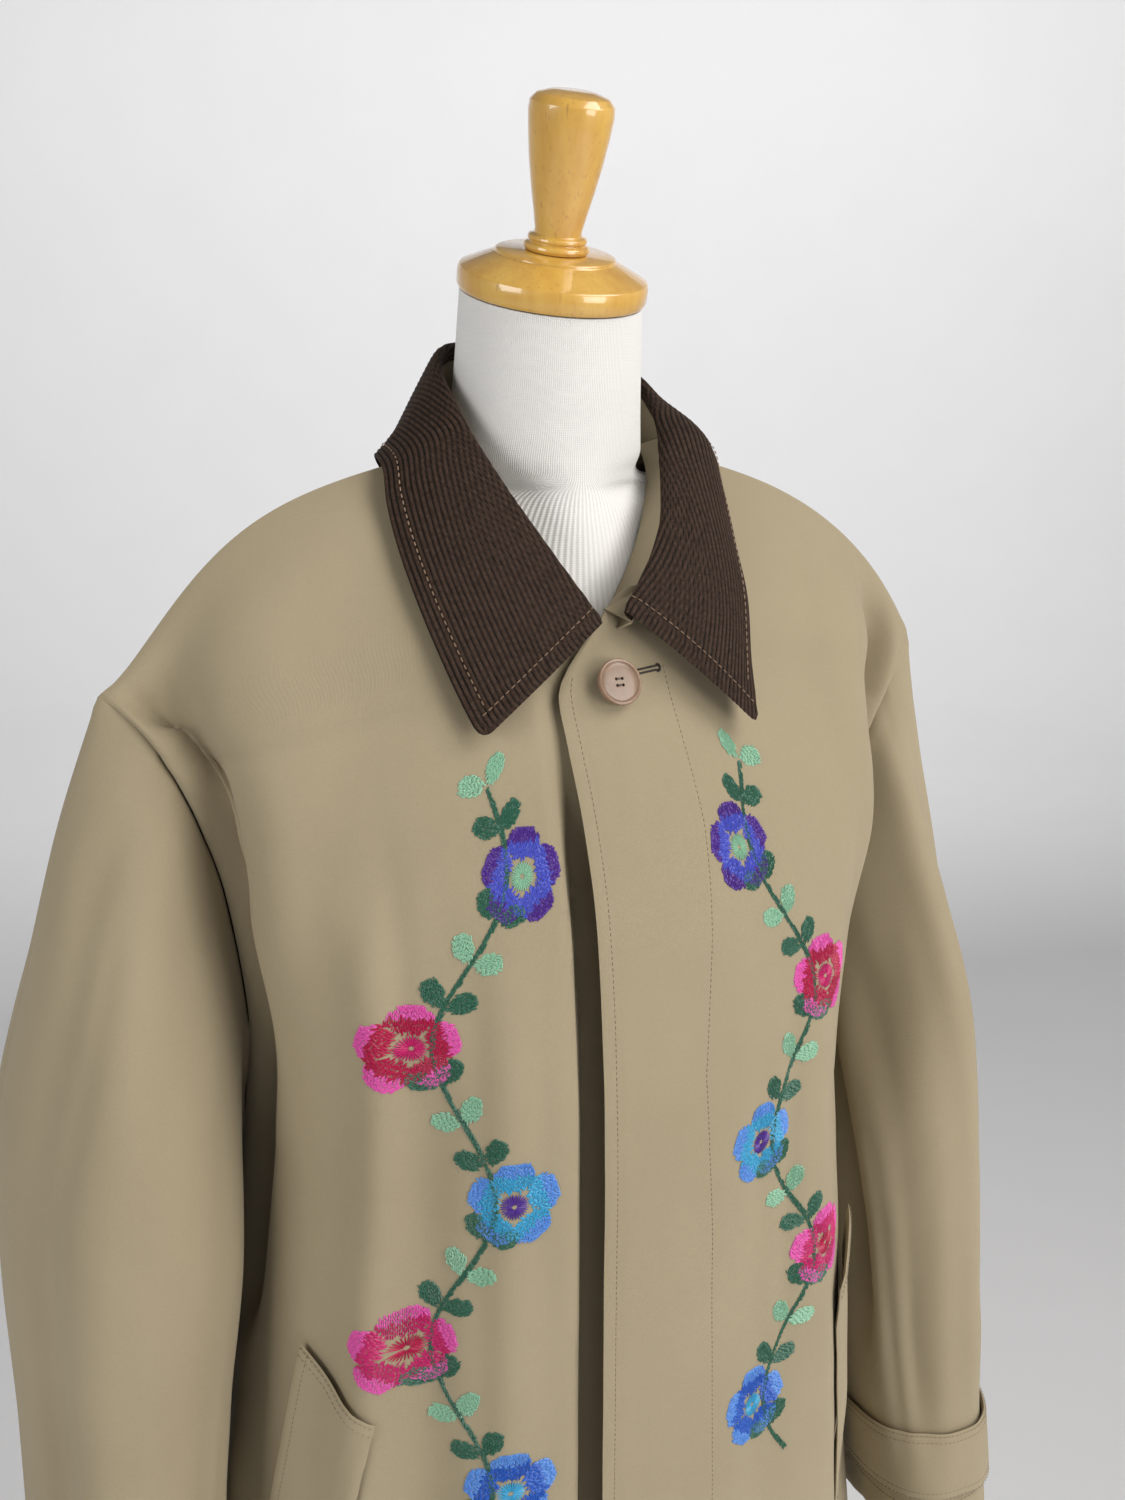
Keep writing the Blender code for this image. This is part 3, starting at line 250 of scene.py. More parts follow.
# Rows of the back; below the underarm they share the front's side points. Above the last one
# the back runs on to the neckline and to the fronts' shoulder seams.
BACK_ROWS = [
    BodyRow(0.0, 15.4, 41.0, 24.6, 0.4, 41.0, 2.1, 0.0, 3),
    BodyRow(0.0, 14.2, 58.0, 22.6, 0.3, 58.0, 2.1, 0.0, 3),
    BodyRow(0.0, 12.9, 75.0, 20.6, 0.2, 75.0, 2.15, 0.0, 3),
    BodyRow(0.0, 12.0, 91.0, 19.2, 0.0, 91.0, 2.2, 0.0, 3),
    BodyRow(0.0, 12.1, 105.0, 17.7, 0.0, 105.0, 2.3, 0.0, 2),
    BodyRow(0.0, 12.5, 112.0, 18.0, 3.4, 110.6, 2.3, 0.0, 2),
    BodyRow(0.0, 12.6, 119.0, 19.2, 5.0, 117.0, 2.2, 0.0, 2),
    BodyRow(0.0, 12.0, 126.0, 20.6, 5.2, 121.8, 2.0, 0.1, 1),
    BodyRow(0.0, 10.7, 131.6, 21.8, 4.6, 124.9, 1.9, 0.25, 1),
    BodyRow(0.0, 8.8, 136.6, 22.8, 3.3, 127.0, 1.8, 0.5, 1),
    BodyRow(0.0, 7.5, 139.2, 23.6, 1.7, 128.3, 1.7, 0.75, 0),
]

NECK_BACK = (0.0, 6.4, 141.2)      # centre back of the neckline

# Stations down a sleeve: the top seam (l), the underarm seam (m) and the depth before and
# behind the line between them; blend is how far the ring has left the armhole's own shape.
SLEEVE_STATIONS = [
    SleeveStation(24.5, 24.6, -0.8, 129.2, 17.7, 0.0, 105.0, 8.0, 8.0, 0.0),
    SleeveStation(25.6, 26.8, -0.5, 122.5, 18.3, -0.4, 101.6, 8.2, 8.0, 0.45),
    SleeveStation(26.9, 28.7, -0.3, 115.0, 18.9, -0.8, 97.0, 8.3, 8.0, 0.9),
    SleeveStation(28.4, 30.6, -0.4, 107.5, 19.7, -1.2, 92.0, 8.1, 7.7, 1.0),
    SleeveStation(29.4, 31.1, -0.8, 99.0, 20.3, -1.8, 86.8, 7.7, 7.2, 1.0),
    SleeveStation(29.7, 30.9, -1.8, 89.5, 21.0, -2.7, 81.0, 7.1, 6.7, 1.0),
    SleeveStation(30.1, 31.0, -2.9, 80.0, 21.8, -3.8, 75.5, 6.7, 6.2, 1.0),
    SleeveStation(30.8, 31.5, -4.0, 71.0, 22.6, -4.9, 70.0, 6.5, 6.0, 1.0),
]
SLEEVE_POWER = 2.25
SLEEVE_INNER_POWER = 3.1        # the side that faces the body is squarer

# Collar, from the right front end round the neck to the left one: the roll line (r), the
# outer edge (e) and how far the edge stands off the coat.
COLLAR_STATIONS = [
    CollarStation(-0.3, -8.6, 132.8, -7.4, -9.2, 127.1, 0.5),
    CollarStation(-1.9, -7.8, 135.0, -8.5, -7.6, 130.2, 0.4),
    CollarStation(-3.9, -6.4, 138.2, -9.4, -5.6, 133.3, 0.3),
    CollarStation(-5.1, -5.0, 140.5, -9.9, -3.2, 136.8, 0.2),
    CollarStation(-5.8, -3.5, 142.3, -9.6, -1.0, 139.2, 0.35),
    CollarStation(-6.2, -1.4, 144.2, -9.0, 1.2, 139.9, 0.35),
    CollarStation(-5.7, 1.6, 145.6, -7.9, 4.2, 139.5, 0.15),
    CollarStation(-3.6, 4.6, 146.3, -4.9, 7.6, 139.0, 0.1),
    CollarStation(0.1, 5.8, 146.4, 0.1, 8.4, 138.8, 0.1),
    CollarStation(3.8, 4.7, 146.1, 5.0, 7.6, 139.0, 0.1),
    CollarStation(6.6, 2.3, 144.9, 8.2, 4.2, 139.5, 0.15),
    CollarStation(6.6, -0.4, 143.2, 9.2, 1.0, 139.9, 0.6),
    CollarStation(5.9, -2.5, 141.3, 9.3, -1.8, 138.4, 0.6),
    CollarStation(5.0, -4.6, 139.0, 8.9, -4.6, 135.0, 0.4),
    CollarStation(3.6, -6.7, 136.3, 8.7, -6.8, 131.0, 0.5),
    CollarStation(0.9, -8.5, 133.3, 8.0, -9.2, 126.4, 0.9),
]
# Leaf profile over the roll, as distances out from the roll line and down the leaf.
ROLL_PROFILE = [(-0.55, 0.8), (-0.53, 0.45), (-0.36, 0.06), (-0.08, 0.04)]
ROLL_MIDDLE = -0.3        # cm, middle of the roll's two faces
LEAF_BOW = 0.25           # cm, how far the leaf bows out between its roll and its edge
LEAF_ROLL = 0.75          # cm, the same on the wearer's left, where the leaf is rolled softly

# Padded form: horizontal sections from its lower edge to the shoulders.
FORM_SECTIONS = [
    FormSection(0.0, 70.0, 14.6, 9.8, 9.8, 2.2, 0.0),
    FormSection(0.0, 80.0, 16.2, 10.6, 10.6, 2.2, 0.0),
    FormSection(0.0, 91.0, 14.2, 9.8, 9.4, 2.2, 0.0),
    FormSection(0.0, 101.0, 12.3, 9.2, 8.2, 2.2, 0.0),
    FormSection(0.0, 111.0, 13.6, 10.6, 9.0, 2.2, 0.0),
    FormSection(0.0, 119.0, 15.2, 10.6, 9.8, 2.2, 0.0),
    FormSection(0.2, 126.0, 16.6, 8.6, 9.2, 2.2, 0.0),
    FormSection(0.4, 131.0, 17.4, 6.0, 7.0, 2.1, 0.0),
    FormSection(0.1, 135.6, 16.2, 3.5, 4.6, 2.0, 0.0),
    FormSection(0.0, 137.8, 13.9, 2.7, 3.8, 1.9, 0.0),
    FormSection(0.0, 138.85, 10.8, 2.15, 3.5, 1.9, 0.0),
    FormSection(0.1, 139.5, 5.8, 3.0, 3.8, 2.0, 0.0),
    FormSection(0.1, 141.0, 5.45, 4.6, 4.5, 2.0, 3.0),
    FormSection(-0.3, 144.0, 5.1, 4.9, 4.8, 2.0, 8.0),
    FormSection(-0.7, 148.8, 4.85, 4.85, 4.85, 2.0, 13.9),
]

CAP_PROFILE = [
    TurnPoint(0.0, 1.06), TurnPoint(2.95, 1.06), TurnPoint(3.17, 0.98), TurnPoint(3.19, 0.84),
    TurnPoint(3.32, 0.78), TurnPoint(4.70, 0.14), TurnPoint(4.96, 0.0), TurnPoint(5.05, -0.2),
    TurnPoint(5.05, -0.9), TurnPoint(4.92, -1.14), TurnPoint(4.70, -1.2), TurnPoint(0.0, -1.2),
]
FINIAL_PROFILE = [
    TurnPoint(0.0, 9.01), TurnPoint(1.1, 8.93), TurnPoint(1.85, 8.70), TurnPoint(2.16, 8.35),
    TurnPoint(2.20, 7.9), TurnPoint(2.10, 6.9), TurnPoint(1.92, 5.6), TurnPoint(1.66, 4.2),
    TurnPoint(1.40, 3.0), TurnPoint(1.24, 2.2), TurnPoint(1.24, 1.95), TurnPoint(1.52, 1.86),
    TurnPoint(1.58, 1.70), TurnPoint(1.46, 1.56), TurnPoint(1.70, 1.44), TurnPoint(1.76, 1.28),
    TurnPoint(1.62, 1.09), TurnPoint(0.0, 1.09),
]
BASE_PROFILE = [
    TurnPoint(0.0, 3.4), TurnPoint(2.4, 3.4), TurnPoint(2.7, 3.1), TurnPoint(3.2, 2.4),
    TurnPoint(13.0, 1.9), TurnPoint(15.8, 1.5), TurnPoint(16.4, 1.0), TurnPoint(16.5, 0.4),
    TurnPoint(16.3, 0.0), TurnPoint(0.0, 0.0),
]

FRONT_COLUMNS = [-1.0, 0.0, 0.12, 0.23, 0.34, 0.44, 0.53, 0.61, 0.68, 0.75, 0.82, 0.89, 0.95, 1.0]
# Largest folds, in the panel's own measure u (0 centre, 1 side), by height. The first two of
# a front are the valley before the armhole and the ridge of the chest beside it.
FRONT_FOLDS = {
    "left": [
        Fold(0.62, 0.95, 135.5, 116.0, 0.06, -3.0),
        Fold(0.48, 0.82, 134.5, 112.0, 0.09, 1.1),
        Fold(0.24, 0.22, 104.0, 41.0, 0.07, -0.9),
        Fold(0.42, 0.46, 114.0, 41.0, 0.09, 1.1),
        Fold(0.66, 0.66, 80.0, 41.0, 0.08, -1.6),
        Fold(0.86, 0.85, 90.0, 41.0, 0.07, 1.8),
    ],
    "right": [
        Fold(0.62, 0.95, 135.5, 116.0, 0.06, -3.0),
        Fold(0.48, 0.82, 134.5, 112.0, 0.09, 1.1),
        Fold(0.21, 0.20, 118.0, 41.0, 0.065, 1.2),
        Fold(0.37, 0.35, 112.0, 41.0, 0.07, -1.3),
        Fold(0.50, 0.49, 118.0, 41.0, 0.07, 1.5),
        Fold(0.74, 0.75, 80.0, 41.0, 0.07, -1.6),
        Fold(0.89, 0.88, 88.0, 41.0, 0.06, 1.5),
    ],
}
BACK_FOLDS = {
    "left": [
        Fold(0.62, 0.90, 134.5, 114.0, 0.06, -1.8),
        Fold(0.00, 0.00, 118.0, 41.0, 0.08, -1.6),
        Fold(0.20, 0.22, 124.0, 41.0, 0.08, 1.4),
        Fold(0.46, 0.48, 116.0, 41.0, 0.09, -1.6),
        Fold(0.70, 0.70, 112.0, 41.0, 0.09, 1.8),
    ],
    "right": [
        Fold(0.62, 0.90, 134.5, 114.0, 0.06, -1.8),
        Fold(0.00, 0.00, 118.0, 41.0, 0.08, -1.6),
        Fold(0.26, 0.24, 120.0, 41.0, 0.09, 1.5),
        Fold(0.52, 0.50, 114.0, 41.0, 0.09, -1.7),
        Fold(0.76, 0.74, 110.0, 41.0, 0.09, 1.7),
    ],
}
SLEEVE_FOLDS = {
    "front": [
        Fold(0.82, 0.78, 123.0, 80.0, 0.08, -1.0),
        Fold(0.60, 0.58, 124.0, 76.0, 0.10, 0.9),
        Fold(0.34, 0.38, 110.0, 74.0, 0.10, -0.9),
    ],
    "back": [
        Fold(0.64, 0.58, 122.0, 78.0, 0.10, -0.9),
        Fold(0.36, 0.38, 108.0, 74.0, 0.10, 0.8),
    ],
}
FADE_TOP = 6.0            # cm over which a fold starts
FADE_LOW = 10.0           # cm over which a fold ends
FOLD_START = 0.4          # share of its depth that a fold has at its top


# Creases that only the dressed cloth has.
FRONT_CREASES = {
    "left": [
        Fold(0.70, 1.16, 133.0, 108.0, 0.035, -2.2),
        Fold(0.95, 0.95, 117.0, 92.0, 0.045, -3.4),
        Fold(0.17, 0.15, 126.0, 96.0, 0.05, 0.25),
        Fold(0.33, 0.30, 112.0, 86.0, 0.035, -0.30),
        Fold(0.55, 0.50, 124.0, 106.0, 0.05, 0.28),
    ],
    "right": [
        Fold(0.72, 1.20, 133.5, 108.0, 0.04, -2.6),
        Fold(0.94, 0.94, 119.0, 92.0, 0.045, -4.8),
        Fold(0.12, 0.10, 120.0, 92.0, 0.03, 0.35),
        Fold(0.27, 0.24, 116.0, 84.0, 0.03, -0.35),
        Fold(0.44, 0.40, 124.0, 96.0, 0.035, -0.30),
    ],
}
SLEEVE_CREASES = {
    "front": [
        Fold(0.10, 0.10, 116.0, 80.0, 0.05, -2.8),
        Fold(0.70, 0.74, 118.0, 84.0, 0.04, -0.35),
        Fold(0.48, 0.46, 100.0, 72.0, 0.05, 0.35),
        Fold(0.22, 0.26, 100.0, 74.0, 0.04, -0.35),
    ],
    "back": [
        Fold(0.50, 0.48, 112.0, 80.0, 0.05, 0.35),
    ],
}

# The fly's stitch line, down the wearer's left front.
StitchPlace = namedtuple("StitchPlace", "height x")
FLY_STITCH = [
    StitchPlace(53.0, 4.5), StitchPlace(85.0, 4.3), StitchPlace(100.0, 3.9),
    StitchPlace(109.0, 3.3), StitchPlace(117.0, 3.9), StitchPlace(122.0, 4.1),
    StitchPlace(126.0, 3.7), StitchPlace(131.0, 2.9),
]

# ---- embroidery: s is the length round the body from the centre front, z the height. The
# pattern is a generic one: one climbing vine, mirrored on the two fronts, with even flowers.
EMBROIDERY_SEED = 7
DRUM_RADIUS = 16.0
THREAD_WIDTH = 0.095
THREAD_HEIGHT = 0.055
LANE_SHARE = 0.72               # lanes of stitches lie closer than a thread is wide
STITCH_RUN = 0.30
STITCH_LEAN = 0.14
LONGEST_STITCH = 1.2            # a longer one would cross a gap between panels
EDGE_ROUGHNESS = 0.03
SHADE_MIX = 0.14                # how far the colours of a petal interlock
VINE_LOW, VINE_HIGH = 84.0, 125.0
VINE_PLACE = 10.2               # s of the line that the vine swings about
VINE_SWING = 1.6
VINE_WIDTH = 0.13
SPRIG_STEP = 2.05
SPRIG_LENGTH = 1.7
SPRIG_SHAPE = 0.30
SPRIG_SPREAD = 0.9
FLOWER_ASIDE = 0.9              # from the vine's bend to the flower's centre
FLOWER_RADIUS = 2.3
FLOWER_PETALS = 5
PETAL_START, PETAL_WIDTH = 0.26, 0.44     # shares of the radius
HEART_RAYS = 30
HEART_START, HEART_END = 0.04, 0.32
Flower = namedtuple("Flower", "colours heart")
FLOWERS = [                     # from low to high, the same on both fronts
    Flower(("royal", "sky"), "turquoise"), Flower(("magenta", "pink"), "crimson"),
    Flower(("turquoise", "sky"), "purple"), Flower(("crimson", "pink"), "magenta"),
    Flower(("periwinkle", "purple"), "mint"),
]
THREAD_COLOURS = {              # sRGB, out of 255
    "turquoise": (66, 168, 212), "royal": (44, 98, 196), "periwinkle": (86, 96, 204),
    "purple": (88, 52, 150), "green": (58, 108, 88), "mint": (148, 196, 166),
    "magenta": (200, 40, 112), "pink": (228, 96, 180), "crimson": (184, 30, 78),
    "sky": (96, 150, 226),
}
BUTTON_PROFILE = [
    TurnPoint(0.0, 0.27), TurnPoint(0.80, 0.28), TurnPoint(1.00, 0.31), TurnPoint(1.08, 0.38),
    TurnPoint(1.16, 0.40), TurnPoint(1.25, 0.33), TurnPoint(1.23, 0.12), TurnPoint(1.05, 0.0),
    TurnPoint(0.0, 0.0),
]


# ---- curves and grids
def smooth_rows(table, parameter):
    """Points on the Catmull-Rom curve through a table's rows; parameter counts the rows."""
    rows = np.asarray(table, float)
    last = len(rows) - 1
    start = np.clip(np.floor(parameter).astype(int), 0, last - 1)
    t = (parameter - start)[:, None]
    before = np.where(start[:, None] > 0, rows[np.maximum(start - 1, 0)],
                      2 * rows[start] - rows[start + 1])
    after = np.where(start[:, None] + 2 <= last, rows[np.minimum(start + 2, last)],
                     2 * rows[start + 1] - rows[start])
    here, there = rows[start], rows[start + 1]
    return (here + 0.5 * t * (there - before
            + t * (2 * before - 5 * here + 4 * there - after
                   + t * (3 * (here - there) + after - before))))


def smoothstep(low, high, value):
    t = np.clip((value - low) / (high - low), 0.0, 1.0)
    return t * t * (3 - 2 * t)


def side_points(rows, parameter):
    """Side seam up to the underarm, then the armhole; the two meet there in a corner."""
    columns = [(row.sx, row.sy, row.sz) for row in rows]
    low = smooth_rows(columns[:UNDERARM_ROW + 1], np.minimum(parameter, UNDERARM_ROW))
    high = smooth_rows(columns[UNDERARM_ROW:], np.maximum(parameter - UNDERARM_ROW, 0.0))
    return np.where((parameter <= UNDERARM_ROW)[:, None], low, high)


def grid_normals(grid):
    """Unit normals of a grid, from its rows and columns."""
    down = np.gradient(grid, axis=0)
    along = np.gradient(grid, axis=1)
    normal = np.cross(along, down)
    return normal / np.linalg.norm(normal, axis=2, keepdims=True)


def face_normals(grid):
    """Area-weighted normal at each grid point, summed over the cells round it."""
    cell = np.cross(grid[1:, 1:] - grid[:-1, :-1], grid[:-1, 1:] - grid[1:, :-1])
    total = np.zeros_like(grid)
    for rows in (slice(None, -1), slice(1, None)):
        for columns in (slice(None, -1), slice(1, None)):
            total[rows, columns] += cell
    return total


def shared_normals(grids):
    """Normals that sewn panels share along their seams, so that their walls are mitred."""
    meeting = {}
    own = {}
    for name, grid in grids.items():
        own[name] = face_normals(grid)
        own[name] /= np.linalg.norm(own[name], axis=2, keepdims=True)
        for point, normal in zip(grid.reshape(-1, 3), own[name].reshape(-1, 3)):
            meeting.setdefault(tuple(np.round(point, 3)), []).append(normal)
    result = {}
    for name, grid in grids.items():
        shared = np.empty_like(grid)
        for index in np.ndindex(grid.shape[:2]):
            mine = own[name][index]
            normals = np.array(meeting[tuple(np.round(grid[index], 3))])
            shared[index] = normals[normals @ mine > MITRE_LIMIT].sum(axis=0)
        result[name] = shared / np.linalg.norm(shared, axis=2, keepdims=True)
    return result


def grid_faces(rows, columns, first=0):
    index = first + np.arange(rows * columns).reshape(rows, columns)
    corners = (index[:-1, :-1], index[1:, :-1], index[1:, 1:], index[:-1, 1:])
    return np.stack([corner.ravel() for corner in corners], axis=1).tolist()


def border(rows, columns, first=0):
    """Indices round a grid's border, in order."""
    index = first + np.arange(rows * columns).reshape(rows, columns)
    loop = list(index[0]) + list(index[1:, -1]) + list(index[-1, -2::-1])
    return [int(item) for item in loop + list(index[-2:0:-1, 0])]


def surface_tree(grids):
    """Search tree over the outer faces of some panels, in centimetres."""
    points, faces = [], []
    for grid in grids:
        rows, columns = grid.shape[:2]
        faces += grid_faces(rows, columns, len(points))
        points += [tuple(point) for point in grid.reshape(-1, 3)]
    return BVHTree.FromPolygons(points, faces)


def rest_on(tree, point, lift):
    """The nearest place on a surface, moved out by lift; both in centimetres."""
    place, normal, _, _ = tree.find_nearest(Vector(point))
    return np.array(place + normal * lift)


def clear_of(tree, points, gap):
    """How far each point must move, along the surface's normal, to stand clear of it."""
    shift = np.zeros_like(points)
    for index in np.ndindex(points.shape[:-1]):
        place, normal, _, _ = tree.find_nearest(Vector(points[index]))
        height = (Vector(points[index]) - place).dot(normal)
        shift[index] = np.array(normal) * max(gap - height, 0.0)
    return shift


def resampled(chain, shares):
    """A chain of points, with what belongs to each, at shares of its length."""
    steps = np.linalg.norm(np.diff(chain[0], axis=0), axis=1)
    distance = np.concatenate([[0.0], np.cumsum(steps)]) / steps.sum()
    return [np.stack([np.interp(shares, distance, item[:, axis]) for axis in range(3)], axis=1)
            for item in chain]


def ring(section, count):
    """Points of one section of the form, leaning forward by the section's tilt."""
    angle = np.arange(count) / count * 2 * math.pi
    power = 2.0 / section.power
    cosine, sine = np.cos(angle), np.sin(angle)
    x = section.half_width * np.sign(cosine) * np.abs(cosine) ** power
    depth = np.where(sine > 0, section.back, section.front)
    y = depth * np.sign(sine) * np.abs(sine) ** power
    tilt = math.radians(section.tilt)
    return np.stack([x, section.y + y * math.cos(tilt), section.z + y * math.sin(tilt)], axis=1)


def at_height(grid, normals, height):
    """Points and normals where each column of a grid crosses a height."""
    places, directions = [], []
    for column in range(grid.shape[1]):
        z = grid[:, column, 2]
        order = np.argsort(z)
        places.append([np.interp(height, z[order], grid[order, column, axis])
                       for axis in range(3)])
        directions.append([np.interp(height, z[order], normals[order, column, axis])
                           for axis in range(3)])
    return np.array(places), np.array(directions)



def finer(values, times):
    """The same run of values with each step divided."""
    values = np.asarray(values, float)
    position = np.arange((len(values) - 1) * times + 1) / times
    return np.interp(position, np.arange(len(values)), values)


def beside_edge(values):
    """Extra values beside the last one, where a seam's groove needs them."""
    last, before = values[-1], values[-2]
    extra = [last - (last - before) * share for share in EDGE_SHARES]
    return np.concatenate([values[:-1], extra, [last]])


def row_parameters(rows):
    values = [index + step / row.steps
              for index, row in enumerate(rows) for step in range(row.steps)]
    return finer(values + [len(rows) - 1.0], ROW_TIMES)


def body_grid(rows, across, side):
    """Grid of a body panel for the wearer's left; across runs from the centre (0) to 1."""
    parameter = row_parameters(rows)
    centre = smooth_rows([(row.cx, row.cy, row.cz) for row in rows], parameter)
    shape = smooth_rows([(row.roundness, row.knee) for row in rows], parameter)
    shape[:, 0] += SQUARER[side] * (smoothstep(60.0, 80.0, centre[:, 2])
                              * smoothstep(122.0, 112.0, centre[:, 2]))
    edge = side_points(rows, parameter)
    angle = np.clip(across, 0.0, 1.0) * math.pi / 2
    power = 2.0 / shape[:, :1]
    out = np.sin(angle)[None, :] ** power
    forward = np.abs(np.cos(angle))[None, :] ** power
    forward[:, across >= 1.0] = 0.0
    knee = out + shape[:, 1:] * KNEE_SHARE * (out ** 3.4 - out)
    grid = np.empty((len(parameter), len(across), 3))
    grid[..., 0] = centre[:, None, 0] + (edge[:, None, 0] - centre[:, None, 0]) * out
    grid[..., 1] = edge[:, None, 1] + (centre[:, None, 1] - edge[:, None, 1]) * forward
    grid[..., 2] = centre[:, None, 2] + (edge[:, None, 2] - centre[:, None, 2]) * knee
    grid[..., 2] += SHOULDER_EASE[side] * EASE_SCALE * shape[:, 1:] * out ** EASE_POWER * (1 - out)
    return grid


def fold_height(folds, across, grid, row_times=ROW_TIMES):
    """Height of the folds over a grid, fading to none at its side and shoulder seams."""
    height = np.zeros(grid.shape[:2])
    z = grid[..., 2]
    for fold in folds:
        share = np.clip((fold.z_top - z) / (fold.z_top - fold.z_low), 0.0, 1.0)
        middle = fold.u_top + (fold.u_low - fold.u_top) * share
        fade = smoothstep(fold.z_top + FADE_TOP / 2, fold.z_top - FADE_TOP / 2, z)
        if fold.z_low > FRONT_ROWS[0].cz:
            fade = fade * smoothstep(fold.z_low, fold.z_low + FADE_LOW, z)
        depth = fold.depth * fade * (FOLD_START + (1 - FOLD_START) * share)
        height += depth * np.exp(-((across[None, :] - middle) / fold.width) ** 2)
    below_seam = smoothstep(-0.5, 2.0, np.arange(len(grid))[::-1] / row_times)
    below_seam[-1] = 0.0
    below_seam *= smoothstep(0.0, 1.0, np.arange(len(grid))[::-1] / row_times)
    return height * smoothstep(1.0, 0.93, across)[None, :] * below_seam[:, None]


def undulation(grid, amount, scale, stretch):
    """Gentle unevenness of hung cloth, longer down the panel than across it."""
    flat = grid.reshape(-1, 3)
    values = [noise.noise(Vector((x / scale, y / scale, z / (scale * stretch))))
              for x, y, z in flat]
    across, down = FINER_ACROSS / scale, FINER_DOWN / scale
    finer_values = [noise.noise(Vector((y * across, x * across, z * down))) for x, y, z in flat]
    total = np.array(values) + FINER_SHARE * np.array(finer_values)
    return amount * total.reshape(grid.shape[:2])


def front_across():
    past = -np.arange(COLUMN_TIMES, 0, -1.0) / COLUMN_TIMES * PAST_SPAN
    return np.concatenate([past, beside_edge(finer(FRONT_COLUMNS[1:], COLUMN_TIMES))])


def front_grid(side):
    """Outer points of one front: the first columns run past the centre line."""
    across = front_across()
    grid = body_grid(FRONT_ROWS, across, side)
    above_neck = smoothstep(NECK_ROW - 1.0, NECK_ROW, row_parameters(FRONT_ROWS))
    reach = OVERLAP + (NECK_ALLOWANCE - OVERLAP) * above_neck
    middle = COLUMN_TIMES
    for row, past in zip(grid, reach):
        for column in range(middle):
            step = past * (middle - column) / middle
            level = [np.interp(row[middle, 0] + step, row[middle:, 0], row[middle:, axis])
                     for axis in (1, 2)]
            row[column] = [row[middle, 0] - step, *level]
    outward = grid_normals(grid)
    height = fold_height(FRONT_FOLDS[side], across, grid)
    height += fold_height(FRONT_CREASES[side], across, grid)
    grid += outward * height[..., None]
    buttoned = smoothstep(119.0, 128.0, grid[:, middle:middle + 1, 2])
    drop = UNDERLAP_DROP + (BUTTONED_DROP - UNDERLAP_DROP) * buttoned
    if side == "left":
        grid[..., 1] -= LIFT_SHARE * drop * smoothstep(6.0, 0.0, grid[..., 0])
    else:
        grid[..., 1] += (1 - LIFT_SHARE) * drop * smoothstep(*UNDERLAP_RAMP, grid[..., 0])
        grid[..., 0] *= -1
    raised = smoothstep(128.6, 131.2, grid[..., 2]) * smoothstep(5.2, 1.6, np.abs(grid[..., 0]))
    grid[..., 2] += NECK_RAISE[0] * raised
    grid[..., 1] += NECK_RAISE[1] * raised
    return grid


def back_half(side, seam):
    """Outer points of half the back, up to the neckline and to the front's shoulder seam."""
    past = NECK_SHARE - NECK_STEP * np.arange(COLUMN_TIMES, 0, -1.0) / COLUMN_TIMES
    over = NECK_SHARE + (1 - NECK_SHARE) * front_across()[COLUMN_TIMES:]
    neck_columns = finer(NECK_COLUMNS, BACK_COLUMN_TIMES)
    across = np.concatenate([neck_columns, past, over])
    half = body_grid(BACK_ROWS, across, side)
    height = fold_height(BACK_FOLDS[side], across, half)
    half -= grid_normals(half) * height[..., None]
    turn = neck_columns[:, None] / NECK_SHARE * math.pi / 2
    centre, point = np.array(NECK_BACK), seam[0]
    neck = np.concatenate([point[0] * np.sin(turn),
                           point[1] + (centre[1] - point[1]) * np.cos(turn),
                           point[2] + (centre[2] - point[2]) * np.cos(turn)], axis=1)
    top = np.concatenate([neck, seam])
    ends = np.stack([half[-1 - ROW_TIMES], half[-1], top]).reshape(3, -1)
    count = SHOULDER_STEPS * ROW_TIMES
    steps = 1.0 + np.arange(1, count + 1) / count
    return np.concatenate([half, smooth_rows(ends, steps).reshape(-1, len(across), 3)])


def back_grid(fronts):
    """Outer points of the back, from its left side seam round to the right one."""
    mirror = np.array([-1.0, 1.0, 1.0])
    left = back_half("left", fronts["left"][-1])
    right = back_half("right", fronts["right"][-1] * mirror) * mirror
    return np.concatenate([left[:, ::-1], right[:, 1:]], axis=1)


